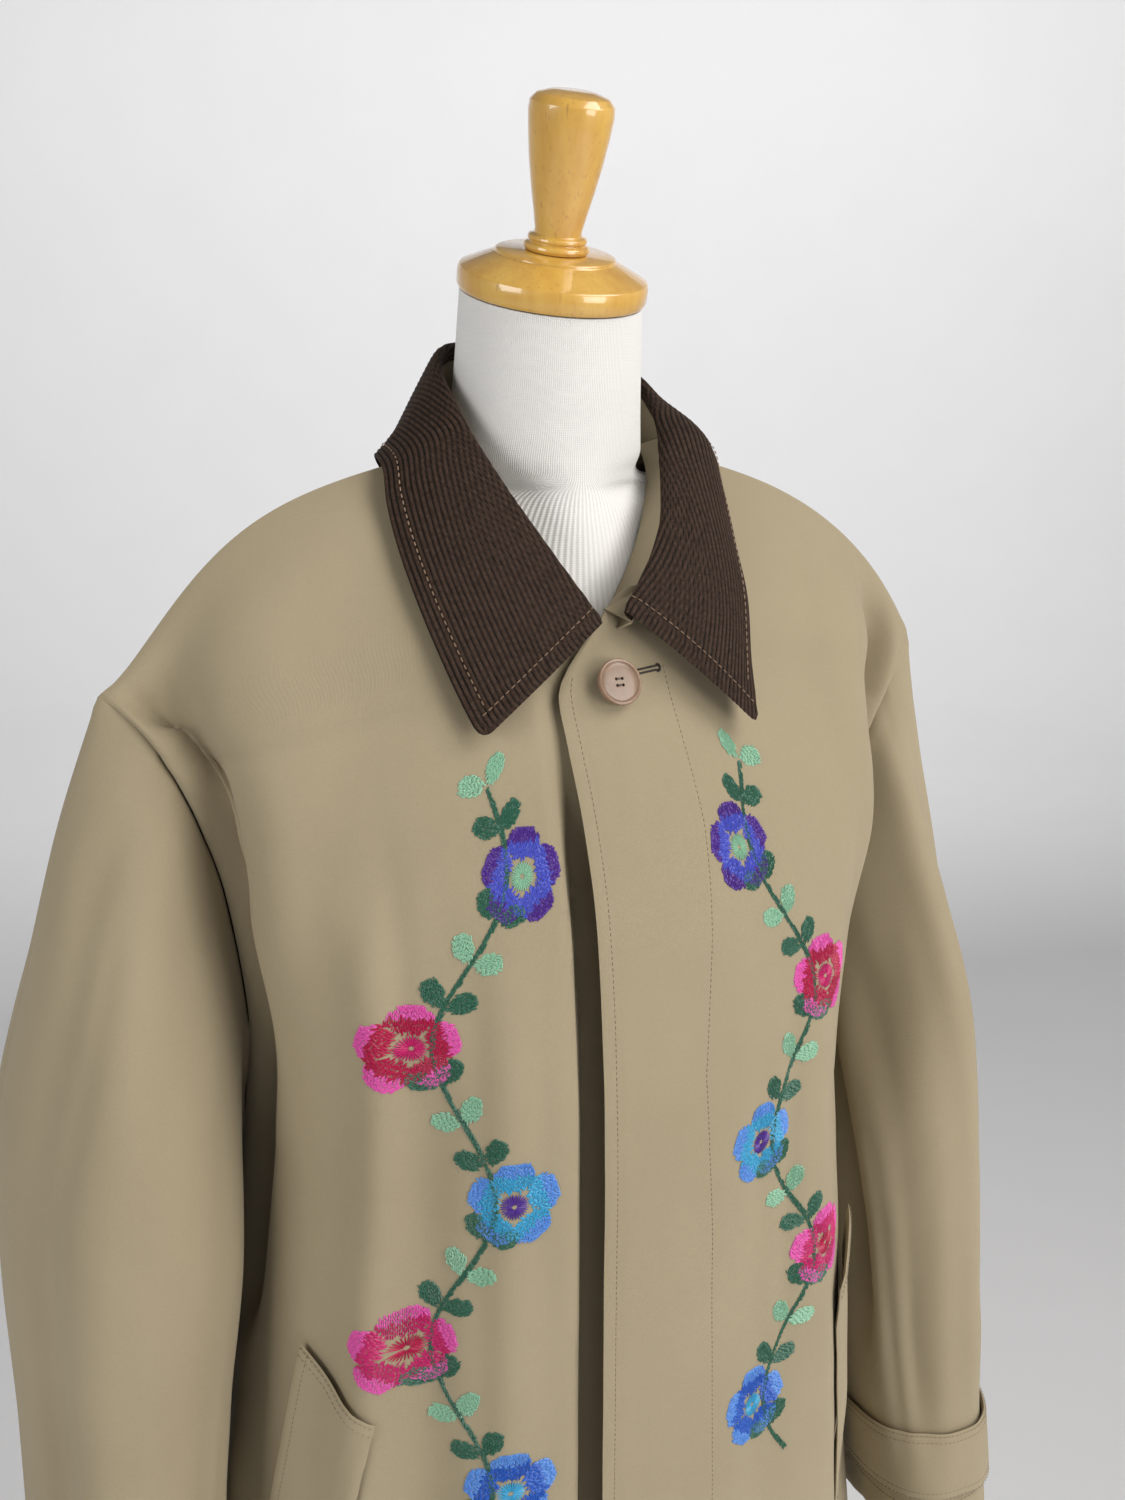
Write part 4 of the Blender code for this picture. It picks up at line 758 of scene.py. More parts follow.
def sleeve_grid(edge, piece, sign):
    """Outer points of a sleeve piece: rows down the arm, columns from underarm to top seam."""
    count = len(SLEEVE_STATIONS) - 1
    rows = count * SLEEVE_ROWS_PER_STATION * SLEEVE_ROW_TIMES + 1
    parameter = np.linspace(0, count, rows)
    table = SleeveStation(*smooth_rows(SLEEVE_STATIONS, parameter).T)
    reach = table.left if sign > 0 else table.right
    top = np.stack([reach, table.ly, table.lz], axis=1)
    under = np.stack([table.mx, table.my, table.mz], axis=1)
    depth = table.front if piece == "front" else -table.back
    blend = np.clip(table.blend, 0.0, 1.0)[:, None, None]
    across = np.linspace(0.0, 1.0, len(edge))
    angle = across * math.pi
    power = 2.0 / (SLEEVE_POWER + (SLEEVE_INNER_POWER - SLEEVE_POWER)
                   * smoothstep(0.62, 0.38, across))
    cosine = np.cos(angle)
    share = 0.5 - 0.5 * np.sign(cosine) * np.abs(cosine) ** power
    bow = np.abs(np.sin(angle)) ** power
    bow[-1] = 0.0
    line = under[:, None] + (top - under)[:, None] * share[None, :, None]
    ring_points = line.copy()
    ring_points[..., 1] -= depth[:, None] * bow[None, :]
    edge = edge * np.array([sign, 1.0, 1.0])
    carried = edge[None] + line - line[:1]
    grid = (1 - blend) * carried + blend * ring_points
    folds = SLEEVE_FOLDS[piece] + SLEEVE_CREASES[piece]
    height = fold_height(folds, across, grid, SLEEVE_ROW_TIMES) * smoothstep(0.0, 0.1, across)
    outward = grid_normals(grid)
    outward *= np.sign(np.sum(outward * (grid - line), axis=2).mean())
    grid += outward * height[..., None]
    grid[0] = edge
    return grid * np.array([sign, 1.0, 1.0])


def coat_grids():
    """Outer grids of every panel of the coat, with rows from low to high."""
    fronts = {side: front_grid(side) for side in ("left", "right")}
    grids = {"front_left": fronts["left"], "front_right": fronts["right"],
             "back": back_grid(fronts)}
    first = sum(row.steps for row in FRONT_ROWS[:UNDERARM_ROW]) * ROW_TIMES
    for side, sign, column in (("left", 1.0, 0), ("right", -1.0, -1)):
        front_edge = grids[f"front_{side}"][first:, -1]
        back_edge = grids["back"][first:, column]
        grids[f"sleeve_{side}_front"] = sleeve_grid(front_edge, "front", sign)
        grids[f"sleeve_{side}_back"] = sleeve_grid(back_edge, "back", sign)
    return grids


def faces_out(name, grid):
    """Whether the grid's own normals point away from the axis of the torso or of the sleeve."""
    axis_x = {"sleeve_left": 25.0, "sleeve_right": -25.0}.get(name.rsplit("_", 1)[0], 0.0)
    away = grid * np.array([1.0, 1.0, 0.0]) - np.array([axis_x, 0.0, 0.0])
    return np.sum(face_normals(grid) * away) > 0


def edge_distance(grid, side):
    """Distance of each point from one edge of its grid, along its row or column."""
    rows = np.linalg.norm(np.diff(grid, axis=0), axis=2)
    columns = np.linalg.norm(np.diff(grid, axis=1), axis=2)
    none = np.zeros((1, grid.shape[1]))
    if side == "first_row":
        return np.concatenate([none, np.cumsum(rows, axis=0)])
    if side == "last_row":
        return np.concatenate([np.cumsum(rows[::-1], axis=0)[::-1], none])
    none = np.zeros((grid.shape[0], 1))
    if side == "first_column":
        return np.concatenate([none, np.cumsum(columns, axis=1)], axis=1)
    return np.concatenate([np.cumsum(columns[:, ::-1], axis=1)[:, ::-1], none], axis=1)


def seam_relief(grid, sides):
    """A seam lies in a narrow groove, with its allowances as a soft swelling beside it."""
    height = np.zeros(grid.shape[:2])
    for side in sides:
        away = edge_distance(grid, side)
        height -= SEAM_DEPTH * np.exp(-(away / SEAM_WIDTH) ** 2)
        height += ALLOWANCE_HEIGHT * np.exp(-((away - ALLOWANCE_PLACE) / ALLOWANCE_WIDTH) ** 2)
    return height


def stitched_relief(grid, side, place):
    """Cloth drawn in along a row of stitches at a distance from a folded edge."""
    away = edge_distance(grid, side)
    return -STITCH_DRAW * np.exp(-((away - place) / STITCH_DRAW_WIDTH) ** 2)


# ---- meshes
def cloth_uv(grid):
    """Lengths along the rows and up the columns, in metres, for the weave."""
    across = edge_distance(grid, "first_column")
    up = edge_distance(grid, "first_row")
    return np.stack([across, up], axis=2) * CM


def add_mesh(name, points, faces, material, uv=None, sharp=50.0):
    """Object from points in centimetres, riding on the one body there is."""
    mesh = bpy.data.meshes.new(name)
    mesh.from_pydata((np.asarray(points) * CM).tolist(), [], faces)
    if uv is not None:
        layer = mesh.uv_layers.new(name="cloth")
        corners = np.empty(len(mesh.loops), int)
        mesh.loops.foreach_get("vertex_index", corners)
        layer.data.foreach_set("uv", np.asarray(uv, np.float32)[corners].ravel())
    mesh.materials.append(material)
    mesh.shade_smooth()
    mesh.set_sharp_from_angle(angle=math.radians(sharp))
    item = bpy.data.objects.new(name, mesh)
    bpy.context.scene.collection.objects.link(item)
    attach(item, ROOT)
    return item


def wall(name, outer, inner, material, uv=None):
    """Cloth wall between two grids of the same size."""
    rows, columns = outer.shape[:2]
    count = rows * columns
    faces = grid_faces(rows, columns)
    faces += [face[::-1] for face in grid_faces(rows, columns, count)]
    rim = border(rows, columns)
    for here, there in zip(rim, rim[1:] + rim[:1]):
        faces.append([there, here, here + count, there + count])
    points = np.concatenate([outer.reshape(-1, 3), inner.reshape(-1, 3)])
    uv = cloth_uv(outer) if uv is None else uv
    doubled = np.concatenate([uv.reshape(-1, 2)] * 2)
    item = add_mesh(name, points, faces, material, doubled)
    work = bmesh.new()
    work.from_mesh(item.data)
    bmesh.ops.recalc_face_normals(work, faces=work.faces)
    work.to_mesh(item.data)
    work.free()
    return item


def rounded(outer, inner, sides):
    """Outer and inner grids drawn together along free edges, as cloth folded over is."""
    outer, inner = outer.copy(), inner.copy()
    for side in sides:
        away = edge_distance(outer, side)
        radius = np.linalg.norm(outer - inner, axis=2) / 2
        short = 1.0 - np.clip(away / np.maximum(radius, 1e-6), 0.0, 1.0)
        share = 0.5 * (1.0 - np.sqrt(np.clip(1.0 - short ** 2, 0.0, 1.0)))[..., None] * 0.9
        outer, inner = (outer + (inner - outer) * share, inner + (outer - inner) * share)
    return outer, inner


def build_panels(cloth):
    """The seven panels; returns each one's outer grid and its normals."""
    grids = {name: grid if faces_out(name, grid) else grid[:, ::-1]
             for name, grid in coat_grids().items()}
    normals = shared_normals(grids)
    for name, grid in grids.items():
        flipped = abs(grid[0, 0, 0]) > abs(grid[0, -1, 0])
        side_seam = "first_column" if flipped else "last_column"
        free_edge = "last_column" if flipped else "first_column"
        sewn, free = ["last_row", side_seam], ["first_row", free_edge]
        if name == "back":
            sewn, free = ["last_row", "first_column", "last_column"], ["first_row"]
        elif name.startswith("sleeve"):
            sewn, free = ["first_row", "first_column", "last_column"], ["last_row"]
        height = seam_relief(grid, sewn)
        height += undulation(grid, UNEVEN, UNEVEN_SIZE, UNEVEN_STRETCH) * np.minimum(
            1.0, np.min([edge_distance(grid, side) for side in sewn], axis=0) / 3.0)
        hem = free[0]
        height += stitched_relief(grid, hem, HEM_STITCH)
        if name.startswith("front"):
            height += stitched_relief(grid, free_edge, EDGE_STITCH)
        grid += normals[name] * height[..., None]
        outer, inner = rounded(grid, grid - normals[name] * CLOTH, free)
        item = wall(f"{name}_cloth", outer, inner, cloth)
        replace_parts(item, name)
    return grids, normals


# ---- stitches
def stitch_meshes(name, starts, ends, normals, width, height, material):
    """Raised stitches: each is a small ridge pointed at both ends, from one start to its end."""
    starts, ends, normals = (np.asarray(item, float) for item in (starts, ends, normals))
    along = ends - starts
    side = np.cross(normals, along)
    side /= np.maximum(np.linalg.norm(side, axis=1, keepdims=True), 1e-9)
    width = np.broadcast_to(np.asarray(width, float), (len(starts),))[:, None]
    height = np.broadcast_to(np.asarray(height, float), (len(starts),))[:, None]
    low, high = starts + along * 0.25, starts + along * 0.75
    half, sunk = side * width / 2, -normals * height * 0.35
    points = np.stack([starts + sunk, low - half, low + normals * height, low + half,
                       high - half, high + normals * height, high + half, ends + sunk], axis=1)
    pattern = [(0, 2, 1), (0, 3, 2), (1, 2, 5, 4), (2, 3, 6, 5), (4, 5, 7), (5, 6, 7),
               (0, 1, 4, 7), (0, 7, 6, 3)]
    faces = [[corner + 8 * index for corner in face]
             for index in range(len(starts)) for face in pattern]
    item = add_mesh(name, points.reshape(-1, 3), faces, material, sharp=75.0)
    return item


def along_line(points, normals, length, gap):
    """Starts, ends and normals of stitches spaced evenly along a line of surface points."""
    points, normals = np.asarray(points), np.asarray(normals)
    steps = np.linalg.norm(np.diff(points, axis=0), axis=1)
    distance = np.concatenate([[0.0], np.cumsum(steps)])
    firsts = np.arange(gap, distance[-1] - length, length + gap)

    def at(place, values):
        return np.stack([np.interp(place, distance, values[:, axis]) for axis in range(3)],
                        axis=1)

    normal = at(firsts + length / 2, normals)
    normal /= np.linalg.norm(normal, axis=1, keepdims=True)
    return at(firsts, points), at(firsts + length, points), normal


def inset_line(grid, normals, side, distance):
    """Line on a grid at a distance in from one of its edges, with the normals there."""
    away = edge_distance(grid, side)
    if side.endswith("row"):
        away, grid, normals = away.T, grid.transpose(1, 0, 2), normals.transpose(1, 0, 2)
    points, directions = [], []
    for row in range(len(grid)):
        order = np.argsort(away[row])
        points.append([np.interp(distance, away[row][order], grid[row][order][:, axis])
                       for axis in range(3)])
        directions.append([np.interp(distance, away[row][order], normals[row][order][:, axis])
                           for axis in range(3)])
    return np.array(points), np.array(directions)


def line_at_x(grid, normals, heights, places):
    """Line down a front where x follows given places by height."""
    points, directions = [], []
    for row, normal in zip(grid, normals):
        order = np.argsort(row[:, 0])
        x = row[order][:, 0]
        target = np.interp(row[len(row) // 2, 2], heights, places)
        if not x[0] < target < x[-1]:
            continue
        points.append([np.interp(target, x, row[order][:, axis]) for axis in range(3)])
        directions.append([np.interp(target, x, normal[order][:, axis]) for axis in range(3)])
    return np.array(points), np.array(directions)


class StitchRows:
    """Stitches gathered for one mesh."""

    def __init__(self):
        self.rows = []

    def add(self, line, length=STITCH_LENGTH, gap=STITCH_GAP, lift=0.0):
        starts, ends, normals = along_line(*line, length, gap)
        self.rows.append((starts + normals * lift, ends + normals * lift, normals))

    def build(self, name, width, height, material):
        starts, ends, normals = (np.concatenate(part) for part in zip(*self.rows))
        return stitch_meshes(name, starts, ends, normals, width, height, material)


def build_coat_stitches(grids, normals, thread):
    """Rows of stitches along the fronts, the hem, the cuffs and the fly."""
    rows = StitchRows()
    for side in ("left", "right"):
        name = f"front_{side}"
        grid, normal = grids[name], normals[name]
        flipped = abs(grid[0, 0, 0]) > abs(grid[0, -1, 0])
        free_edge = "last_column" if flipped else "first_column"
        points, directions = inset_line(grid, normal, free_edge, EDGE_STITCH)
        keep = points[:, 2] < STITCH_TOP
        rows.add((points[keep], directions[keep]))
        rows.add(inset_line(grid, normal, "first_row", HEM_STITCH))
    rows.add(inset_line(grids["back"], normals["back"], "first_row", HEM_STITCH))
    for side in ("left", "right"):
        for piece in ("front", "back"):
            name = f"sleeve_{side}_{piece}"
            rows.add(inset_line(grids[name], normals[name], "last_row", CUFF_STITCH))
    points, directions = line_at_x(grids["front_left"], normals["front_left"],
                                   [place.height for place in FLY_STITCH],
                                   [place.x for place in FLY_STITCH])
    keep = (points[:, 2] < STITCH_TOP) & (points[:, 2] > FLY_LOW)
    rows.add((points[keep], directions[keep]))
    rows.build("coat_stitches", STITCH_WIDTH, STITCH_HEIGHT, thread)


# ---- collar
def collar_frames(tree):
    """Roll points and the directions down the leaf and out from the neck, as in the solids."""
    parameter = np.linspace(0.0, len(COLLAR_STATIONS) - 1.0, LEAF_STATIONS + 1)
    table = CollarStation(*smooth_rows(COLLAR_STATIONS, parameter).T)
    roll = np.stack([table.rx, table.ry, table.rz], axis=1)
    edge = np.stack([table.ex, table.ey, table.ez], axis=1)
    lifts = table.lift + LEAF_CLOTH + LEAF_LIFT
    edge = np.array([rest_on(tree, point, lift) for point, lift in zip(edge, lifts)])
    down = edge - roll
    length = np.linalg.norm(down, axis=1, keepdims=True)
    down /= length
    along = np.gradient(roll, axis=0)
    out = np.cross(down, along)
    out /= np.linalg.norm(out, axis=1, keepdims=True)
    outward = np.sum(out * roll * np.array([1.0, 1.0, 0.0]), axis=1).sum()
    return roll, down, out * np.sign(outward), length


def leaf_points(frames, shares, thickness):
    """One face of the leaf: the roll's profile, then points at shares of the way down."""
    roll, down, out, length = frames
    rolled = LEAF_ROLL * (smoothstep(0.6, 2.6, roll[:, 0]) * smoothstep(3.0, -1.0, roll[:, 1]))
    rolled = rolled[:, None]
    columns = []
    for reach, fall in ROLL_PROFILE:
        reach = ROLL_MIDDLE + (reach - ROLL_MIDDLE) * (1.0 + thickness / ROLL_MIDDLE)
        columns.append(roll + out * reach + down * (fall + thickness * (fall < 0.3)))
    for share in shares:
        bow = (LEAF_BOW + rolled) * 4 * share * (1 - share)
        columns.append(roll + down * length * share + out * (bow - thickness))
    return np.stack(columns, axis=1)


def refine(grid, row_times, columns):
    """The same surface with finer rows and with columns at given places, both smooth."""
    rows, count = grid.shape[:2]
    place = np.linspace(0, rows - 1, (rows - 1) * row_times + 1)
    down = smooth_rows(grid.reshape(rows, -1), place).reshape(len(place), count, 3)
    turned_grid = down.transpose(1, 0, 2).reshape(count, -1)
    fine = smooth_rows(turned_grid, columns).reshape(len(columns), len(place), 3)
    return fine.transpose(1, 0, 2)


def blunted(outer, inner, radius):
    """The leaf's faces with their two tips rounded off."""
    outer, inner = outer.copy(), inner.copy()
    away = edge_distance(outer, "last_column")
    for end in ("first_row", "last_row"):
        ends = edge_distance(outer, end)
        centre = np.unravel_index(np.argmin(np.abs(away - radius) + np.abs(ends - radius)),
                                  away.shape)
        first, second = radius - away, radius - ends
        corner = (first > 0) & (second > 0)
        reach = np.hypot(first, second)
        share = np.where(corner, np.maximum(first, second) / np.maximum(reach, 1e-6), 1.0)
        for face in (outer, inner):
            face += (face - face[centre]) * (share - 1.0)[..., None]
    return outer, inner


def build_facing(frames, top, form, cloth):
    """Inside facing of the wearer's left front, from the collar's roll to the form's throat."""
    shown = (smoothstep(0.2, 1.6, top[:, 0]) * smoothstep(0.5, -1.5, top[:, 1])
             * smoothstep(143.0, 138.0, top[:, 2]))
    keep = np.nonzero((shown > 0.02) & (top[:, 0] > 0))[0]
    top, shown, out = top[keep], shown[keep], frames[2][keep]
    targets = top - out * 0.3 + np.array(FACING_MOVE) * shown[:, None]
    low = np.array([rest_on(form, point, FACING_LIFT) for point in targets])
    shares = np.linspace(0.0, 1.0, 5)
    sag = 0.5 * shares * (1 - shares)
    rows = low[:, None] + (top - low)[:, None] * shares[None, :, None]
    rows += out[:, None] * sag[None, :, None]
    face = refine(rows, LEAF_ROW_TIMES, np.linspace(0, 4, 21))
    normal = face_normals(face)
    normal /= np.linalg.norm(normal, axis=2, keepdims=True)
    normal *= np.sign(np.sum(normal * np.array([-0.4, -0.2, 0.6])))
    facing = wall("neck_facing_cloth", face, face - normal * FACING_CLOTH, cloth)


def build_collar(tree, form, neckline, corduroy, cloth, thread):
    """Corduroy leaf with its wales and topstitching, and the stand under its roll."""
    frames = collar_frames(tree)
    shares = np.linspace(0.06, 1.0, 9)
    outer = leaf_points(frames, shares, 0.0)
    inner = leaf_points(frames, shares, LEAF_CLOTH)
    start = len(ROLL_PROFILE)
    shift = clear_of(tree, inner[:, start:], LEAF_LIFT)
    outer[:, start:] += shift
    inner[:, start:] += shift
    stand_top = [inner[:, 0], outer[:, 0]]
    last = outer.shape[1] - 1.0
    columns = np.linspace(0.0, last, LEAF_COLUMNS)
    columns = np.concatenate([columns[:-1], last - np.array([0.03, 0.015, 0.005]), [last]])
    outer = refine(outer, LEAF_ROW_TIMES, columns)
    inner = refine(inner, LEAF_ROW_TIMES, columns)
    outer, inner = blunted(outer, inner, TIP_RADIUS)
    away = edge_distance(outer, "last_column")
    phase = np.abs(np.sin(math.pi * away / WALE_PITCH))
    wale = phase ** 0.6
    flat_end = smoothstep(0.0, 0.12, away)
    outward = face_normals(outer)
    outward /= np.linalg.norm(outward, axis=2, keepdims=True)
    outward *= np.sign(np.sum(outward * (outer - inner)))
    ends = np.minimum(edge_distance(outer, "first_row"), edge_distance(outer, "last_row"))
    draw = STITCH_DRAW * (np.exp(-((away - COLLAR_STITCH) / STITCH_DRAW_WIDTH) ** 2)
                          + np.exp(-((ends - COLLAR_STITCH) / STITCH_DRAW_WIDTH) ** 2))
    relief = WALE_HEIGHT * (wale - 0.5) * flat_end - draw
    relief += undulation(outer, LEAF_UNEVEN, 5.0, 1.0)
    outer += outward * relief[..., None]
    smooth_outer = outer - outward * (relief - WALE_HEIGHT * 0.45)[..., None]
    outer, inner = rounded(outer, inner, ["last_column", "first_row", "last_row"])
    leaf = wall("collar_leaf_cloth", outer, inner, corduroy)
    # the wale attribute places the corduroy's painted shade in the furrows between the wales
    shade = leaf.data.attributes.new("wale", "FLOAT", "POINT")
    shade.data.foreach_set("value", np.tile(wale.ravel(), 2).astype(np.float32))
    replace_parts(leaf, "collar_leaf")

    rows = StitchRows()
    for side in ("last_column", "first_row", "last_row"):
        points, normals = inset_line(smooth_outer, outward, side, COLLAR_STITCH)
        if side != "last_column":
            keep = slice(int(len(points) * 0.12), int(len(points) * 0.96))
            points, normals = points[keep], normals[keep]
        else:
            points, normals = points[3:-3], normals[3:-3]
        rows.add((points, normals), COLLAR_STITCH_LENGTH, COLLAR_STITCH_GAP, 0.02)
    stitches = rows.build("collar_stitches", 0.07, 0.05, thread)

    down = frames[1]
    upper = [face + down * 0.03 for face in stand_top]
    dense = np.linspace(0.0, 1.0, NECKLINE_SAMPLES)
    choices = resampled(neckline, dense)[0]
    nearest = [dense[np.argmin(np.linalg.norm(choices - end, axis=1))] for end in upper[0]]
    nearest = np.maximum.accumulate(np.concatenate([[0.0], nearest[1:-1], [1.0]]))
    places, normals, leaving = resampled(neckline, nearest)
    lower = [places + leaving * STAND_SEAM, places - normals * CLOTH + leaving * STAND_SEAM]
    shares = np.linspace(0.0, 1.0, 4)[None, :, None]
    faces = [refine(low_end[:, None] + (end - low_end)[:, None] * shares, LEAF_ROW_TIMES,
                    np.linspace(0, 3, 13)) for low_end, end in zip(upper, lower)]
    stand = wall("collar_stand_cloth", faces[0], faces[1], cloth)
    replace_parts(stand, "collar_stand")
    build_facing(frames, stand_top[1], form, cloth)


def neckline_of(grids, normals):
    """Points of the neckline from right to left, the outward normals and the way off the coat."""
    first = sum(row.steps for row in FRONT_ROWS[:NECK_ROW]) * ROW_TIMES
    runs = []
    for name in ("front_right", "front_left"):
        grid, normal = grids[name][first:], normals[name][first:]
        if abs(grid[0, 0, 0]) > abs(grid[0, -1, 0]):
            grid, normal = grid[:, ::-1], normal[:, ::-1]
        runs.append([grid[:, 0], normal[:, 0], grid[:, 0] - grid[:, 2 * COLUMN_TIMES]])
    grid, normal = grids["back"], normals["back"]
    middle = grid.shape[1] // 2
    reach = (len(NECK_COLUMNS) - 1) * BACK_COLUMN_TIMES
    span = slice(middle - reach, middle + reach + 1)
    run = [grid[-1, span], normal[-1, span], grid[-1, span] - grid[-1 - ROW_TIMES, span]]
    if run[0][0, 0] > run[0][-1, 0]:
        run = [part[::-1] for part in run]
    left = [part[::-1] for part in runs[1]]
    chain = [np.concatenate(pieces) for pieces in zip(runs[0], run, left)]
    chain[2] /= np.linalg.norm(chain[2], axis=1, keepdims=True)
    return chain


# ---- form and stand
def form_grid():
    """Rings of the form, closed, with the throat filled out at its centre."""
    count = len(FORM_SECTIONS) - 1
    parameter = np.linspace(0, count, count * FORM_ROWS_PER_SECTION + 1)
    rings = np.stack([ring(FormSection(*row), FORM_SEGMENTS)
                      for row in smooth_rows(FORM_SECTIONS, parameter)])
    closed = np.concatenate([rings, rings[:, :1]], axis=1)
    low = closed[..., 1].min(axis=1)
    heights, places = zip(*THROAT_LINE)
    wanted = np.interp(closed[:, 0, 2], heights, places, left=low.min(), right=low.min())
    fill = np.where((closed[:, 0, 2] > heights[0]) & (closed[:, 0, 2] < heights[-1]),
                    np.maximum(low - wanted, 0.0), 0.0)
    wide = np.exp(-(closed[..., 0] / THROAT_WIDTH) ** 2)
    closed[..., 1] -= fill[:, None] * wide * smoothstep(0.0, -2.0, closed[..., 1])
    return closed


def build_form(closed, jersey):
    """Padded form in ribbed jersey; the ribs follow its columns."""
    rows, columns = closed.shape[:2]
    points = closed.reshape(-1, 3)
    faces = [face[::-1] for face in grid_faces(rows, columns)]
    faces.append(list(range(columns - 1))[::-1])
    faces.append([(rows - 1) * columns + column for column in range(columns - 1)])
    share = np.broadcast_to(np.linspace(0, 1, columns)[None], (rows, columns))
    height = closed[..., 2] * CM
    uv = np.stack([share, height], axis=2).reshape(-1, 2)
    form = add_mesh("form_jersey", points, faces, jersey, uv)
    work = bmesh.new()
    work.from_mesh(form.data)
    bmesh.ops.remove_doubles(work, verts=work.verts, dist=1e-6)
    bmesh.ops.recalc_face_normals(work, faces=work.faces)
    work.to_mesh(form.data)
    work.free()
    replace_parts(form, "form_torso")


def turned(name, profile, material, matrix=None, scale=1.0, segments=TURNED_SEGMENTS):
    """Turned piece: a profile from the top of the axis, down its outer side, to the bottom."""
    angle = np.arange(segments) / segments * 2 * math.pi
    points, faces = [], []
    inner = [point for point in profile if point.radius > 0]
    for point in inner:
        points += [(point.radius * scale * math.cos(a), point.radius * scale * math.sin(a),
                    point.height * scale) for a in angle]
    for row in range(len(inner) - 1):
        for column in range(segments):
            here = row * segments + column
            there = row * segments + (column + 1) % segments
            faces.append([here, here + segments, there + segments, there])
    faces.append(list(range(segments)))
    faces.append(list(range(len(points) - segments, len(points)))[::-1])
    item = add_mesh(name, points, faces, material, sharp=35.0)
    if matrix is not None:
        item.data.transform(matrix)
    bevel = item.modifiers.new("soft_edges", "BEVEL")
    bevel.width = 0.0004 * scale
    bevel.segments = 2
    bevel.limit_method = "ANGLE"
    return item


def build_stand(wood, metal):
    """Cap and finial on the leaning neck, then the pole and the base under the form."""
    lean = Matrix.Translation(CAP_CENTRE) @ Matrix.Rotation(NECK_TILT, 4, "X")
    for node, profile in (("neck_cap", CAP_PROFILE), ("cap_finial", FINIAL_PROFILE)):
        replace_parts(turned(f"{node}_wood", profile, wood, lean), node)
    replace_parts(turned("stand_base_cover", BASE_PROFILE, metal), "stand_base")
    top = FORM_SECTIONS[0].z - 0.03
    bottom = BASE_PROFILE[0].height + 0.03
    radius = POLE_RADIUS / CM
    pole = [TurnPoint(radius, top), TurnPoint(radius, 56.0), TurnPoint(radius, 40.0),
            TurnPoint(radius, 20.0), TurnPoint(radius, bottom)]
    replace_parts(turned("stand_pole_tube", pole, metal), "stand_pole")


# ---- trims
def end_stitches(outer, directions, ends):
    """Draw a trim in along the double stitch rows at its ends, and return the rows."""
    for end in ends:
        for place in END_STITCHES:
            outer += directions * stitched_relief(outer, end, place)[..., None]
    rows = StitchRows()
    for end in ends:
        for place in END_STITCHES:
            rows.add(inset_line(outer, directions, end, place))
    return rows


def build_welt(side, grid, cloth, thread):
    """Slanted welt of a side pocket: sewn at its front edge and ends, open at the rear one."""
    sign = 1.0 if side == "left" else -1.0
    tree = surface_tree([grid])
    top_rear = np.array(WELT_TOP_REAR)
    top_front = np.array(WELT_TOP_FRONT)
    across = (top_front - top_rear) / np.linalg.norm(top_front - top_rear)
    down = np.array(WELT_DOWN) / np.linalg.norm(WELT_DOWN)
    outward = np.array([-across[1], across[0], 0.0]) / np.hypot(across[0], across[1])
    inward = Vector(-outward * np.array([sign, 1, 1]))
    shares_down = np.linspace(0.0, 1.0, WELT_ROWS + 1)
    shares = np.linspace(0.0, 1.0, WELT_COLUMNS + 1)
    places = np.empty((WELT_ROWS + 1, WELT_COLUMNS + 1, 3))
    directions = np.empty_like(places)
    for row, fall in enumerate(shares_down):
        for column, share in enumerate(shares):
            target = top_rear + across * WELT_WIDTH * share + down * WELT_LENGTH * fall
            above = Vector((target + outward * WELT_REACH) * np.array([sign, 1, 1]))
            place, normal, _, _ = tree.ray_cast(above, inward)
            places[row, column] = place
            directions[row, column] = normal
    rise = np.minimum(1.0, WELT_FRONT_SLOPE * (1 - shares))[None]
    lift = WELT_EDGE + (WELT_LIFT - WELT_EDGE) * rise
    lift = lift + (WELT_GAPE[side] * (1 - shares)[None] * np.sin(math.pi * shares_down)[:, None]
                   + WELT_TOP_GAPE[side]
                   * np.clip(1 - WELT_TOP_SLOPE * shares_down, 0.0, 1.0)[:, None])
    inner = places + directions * lift[..., None]
    outer = inner + directions * WELT_THICKNESS
    edges = ["first_row", "last_row", "first_column", "last_column"]
    rows = end_stitches(outer, directions, edges[:2])
    rows.add(inset_line(outer, directions, "first_column", EDGE_STITCH))
    outer, inner = rounded(outer, inner, edges)
    welt = wall(f"pocket_welt_{side}_cloth", outer, inner, cloth)
    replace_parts(welt, f"pocket_welt_{side}")
    rows.build(f"welt_stitches_{side}", STITCH_WIDTH, STITCH_HEIGHT, thread)


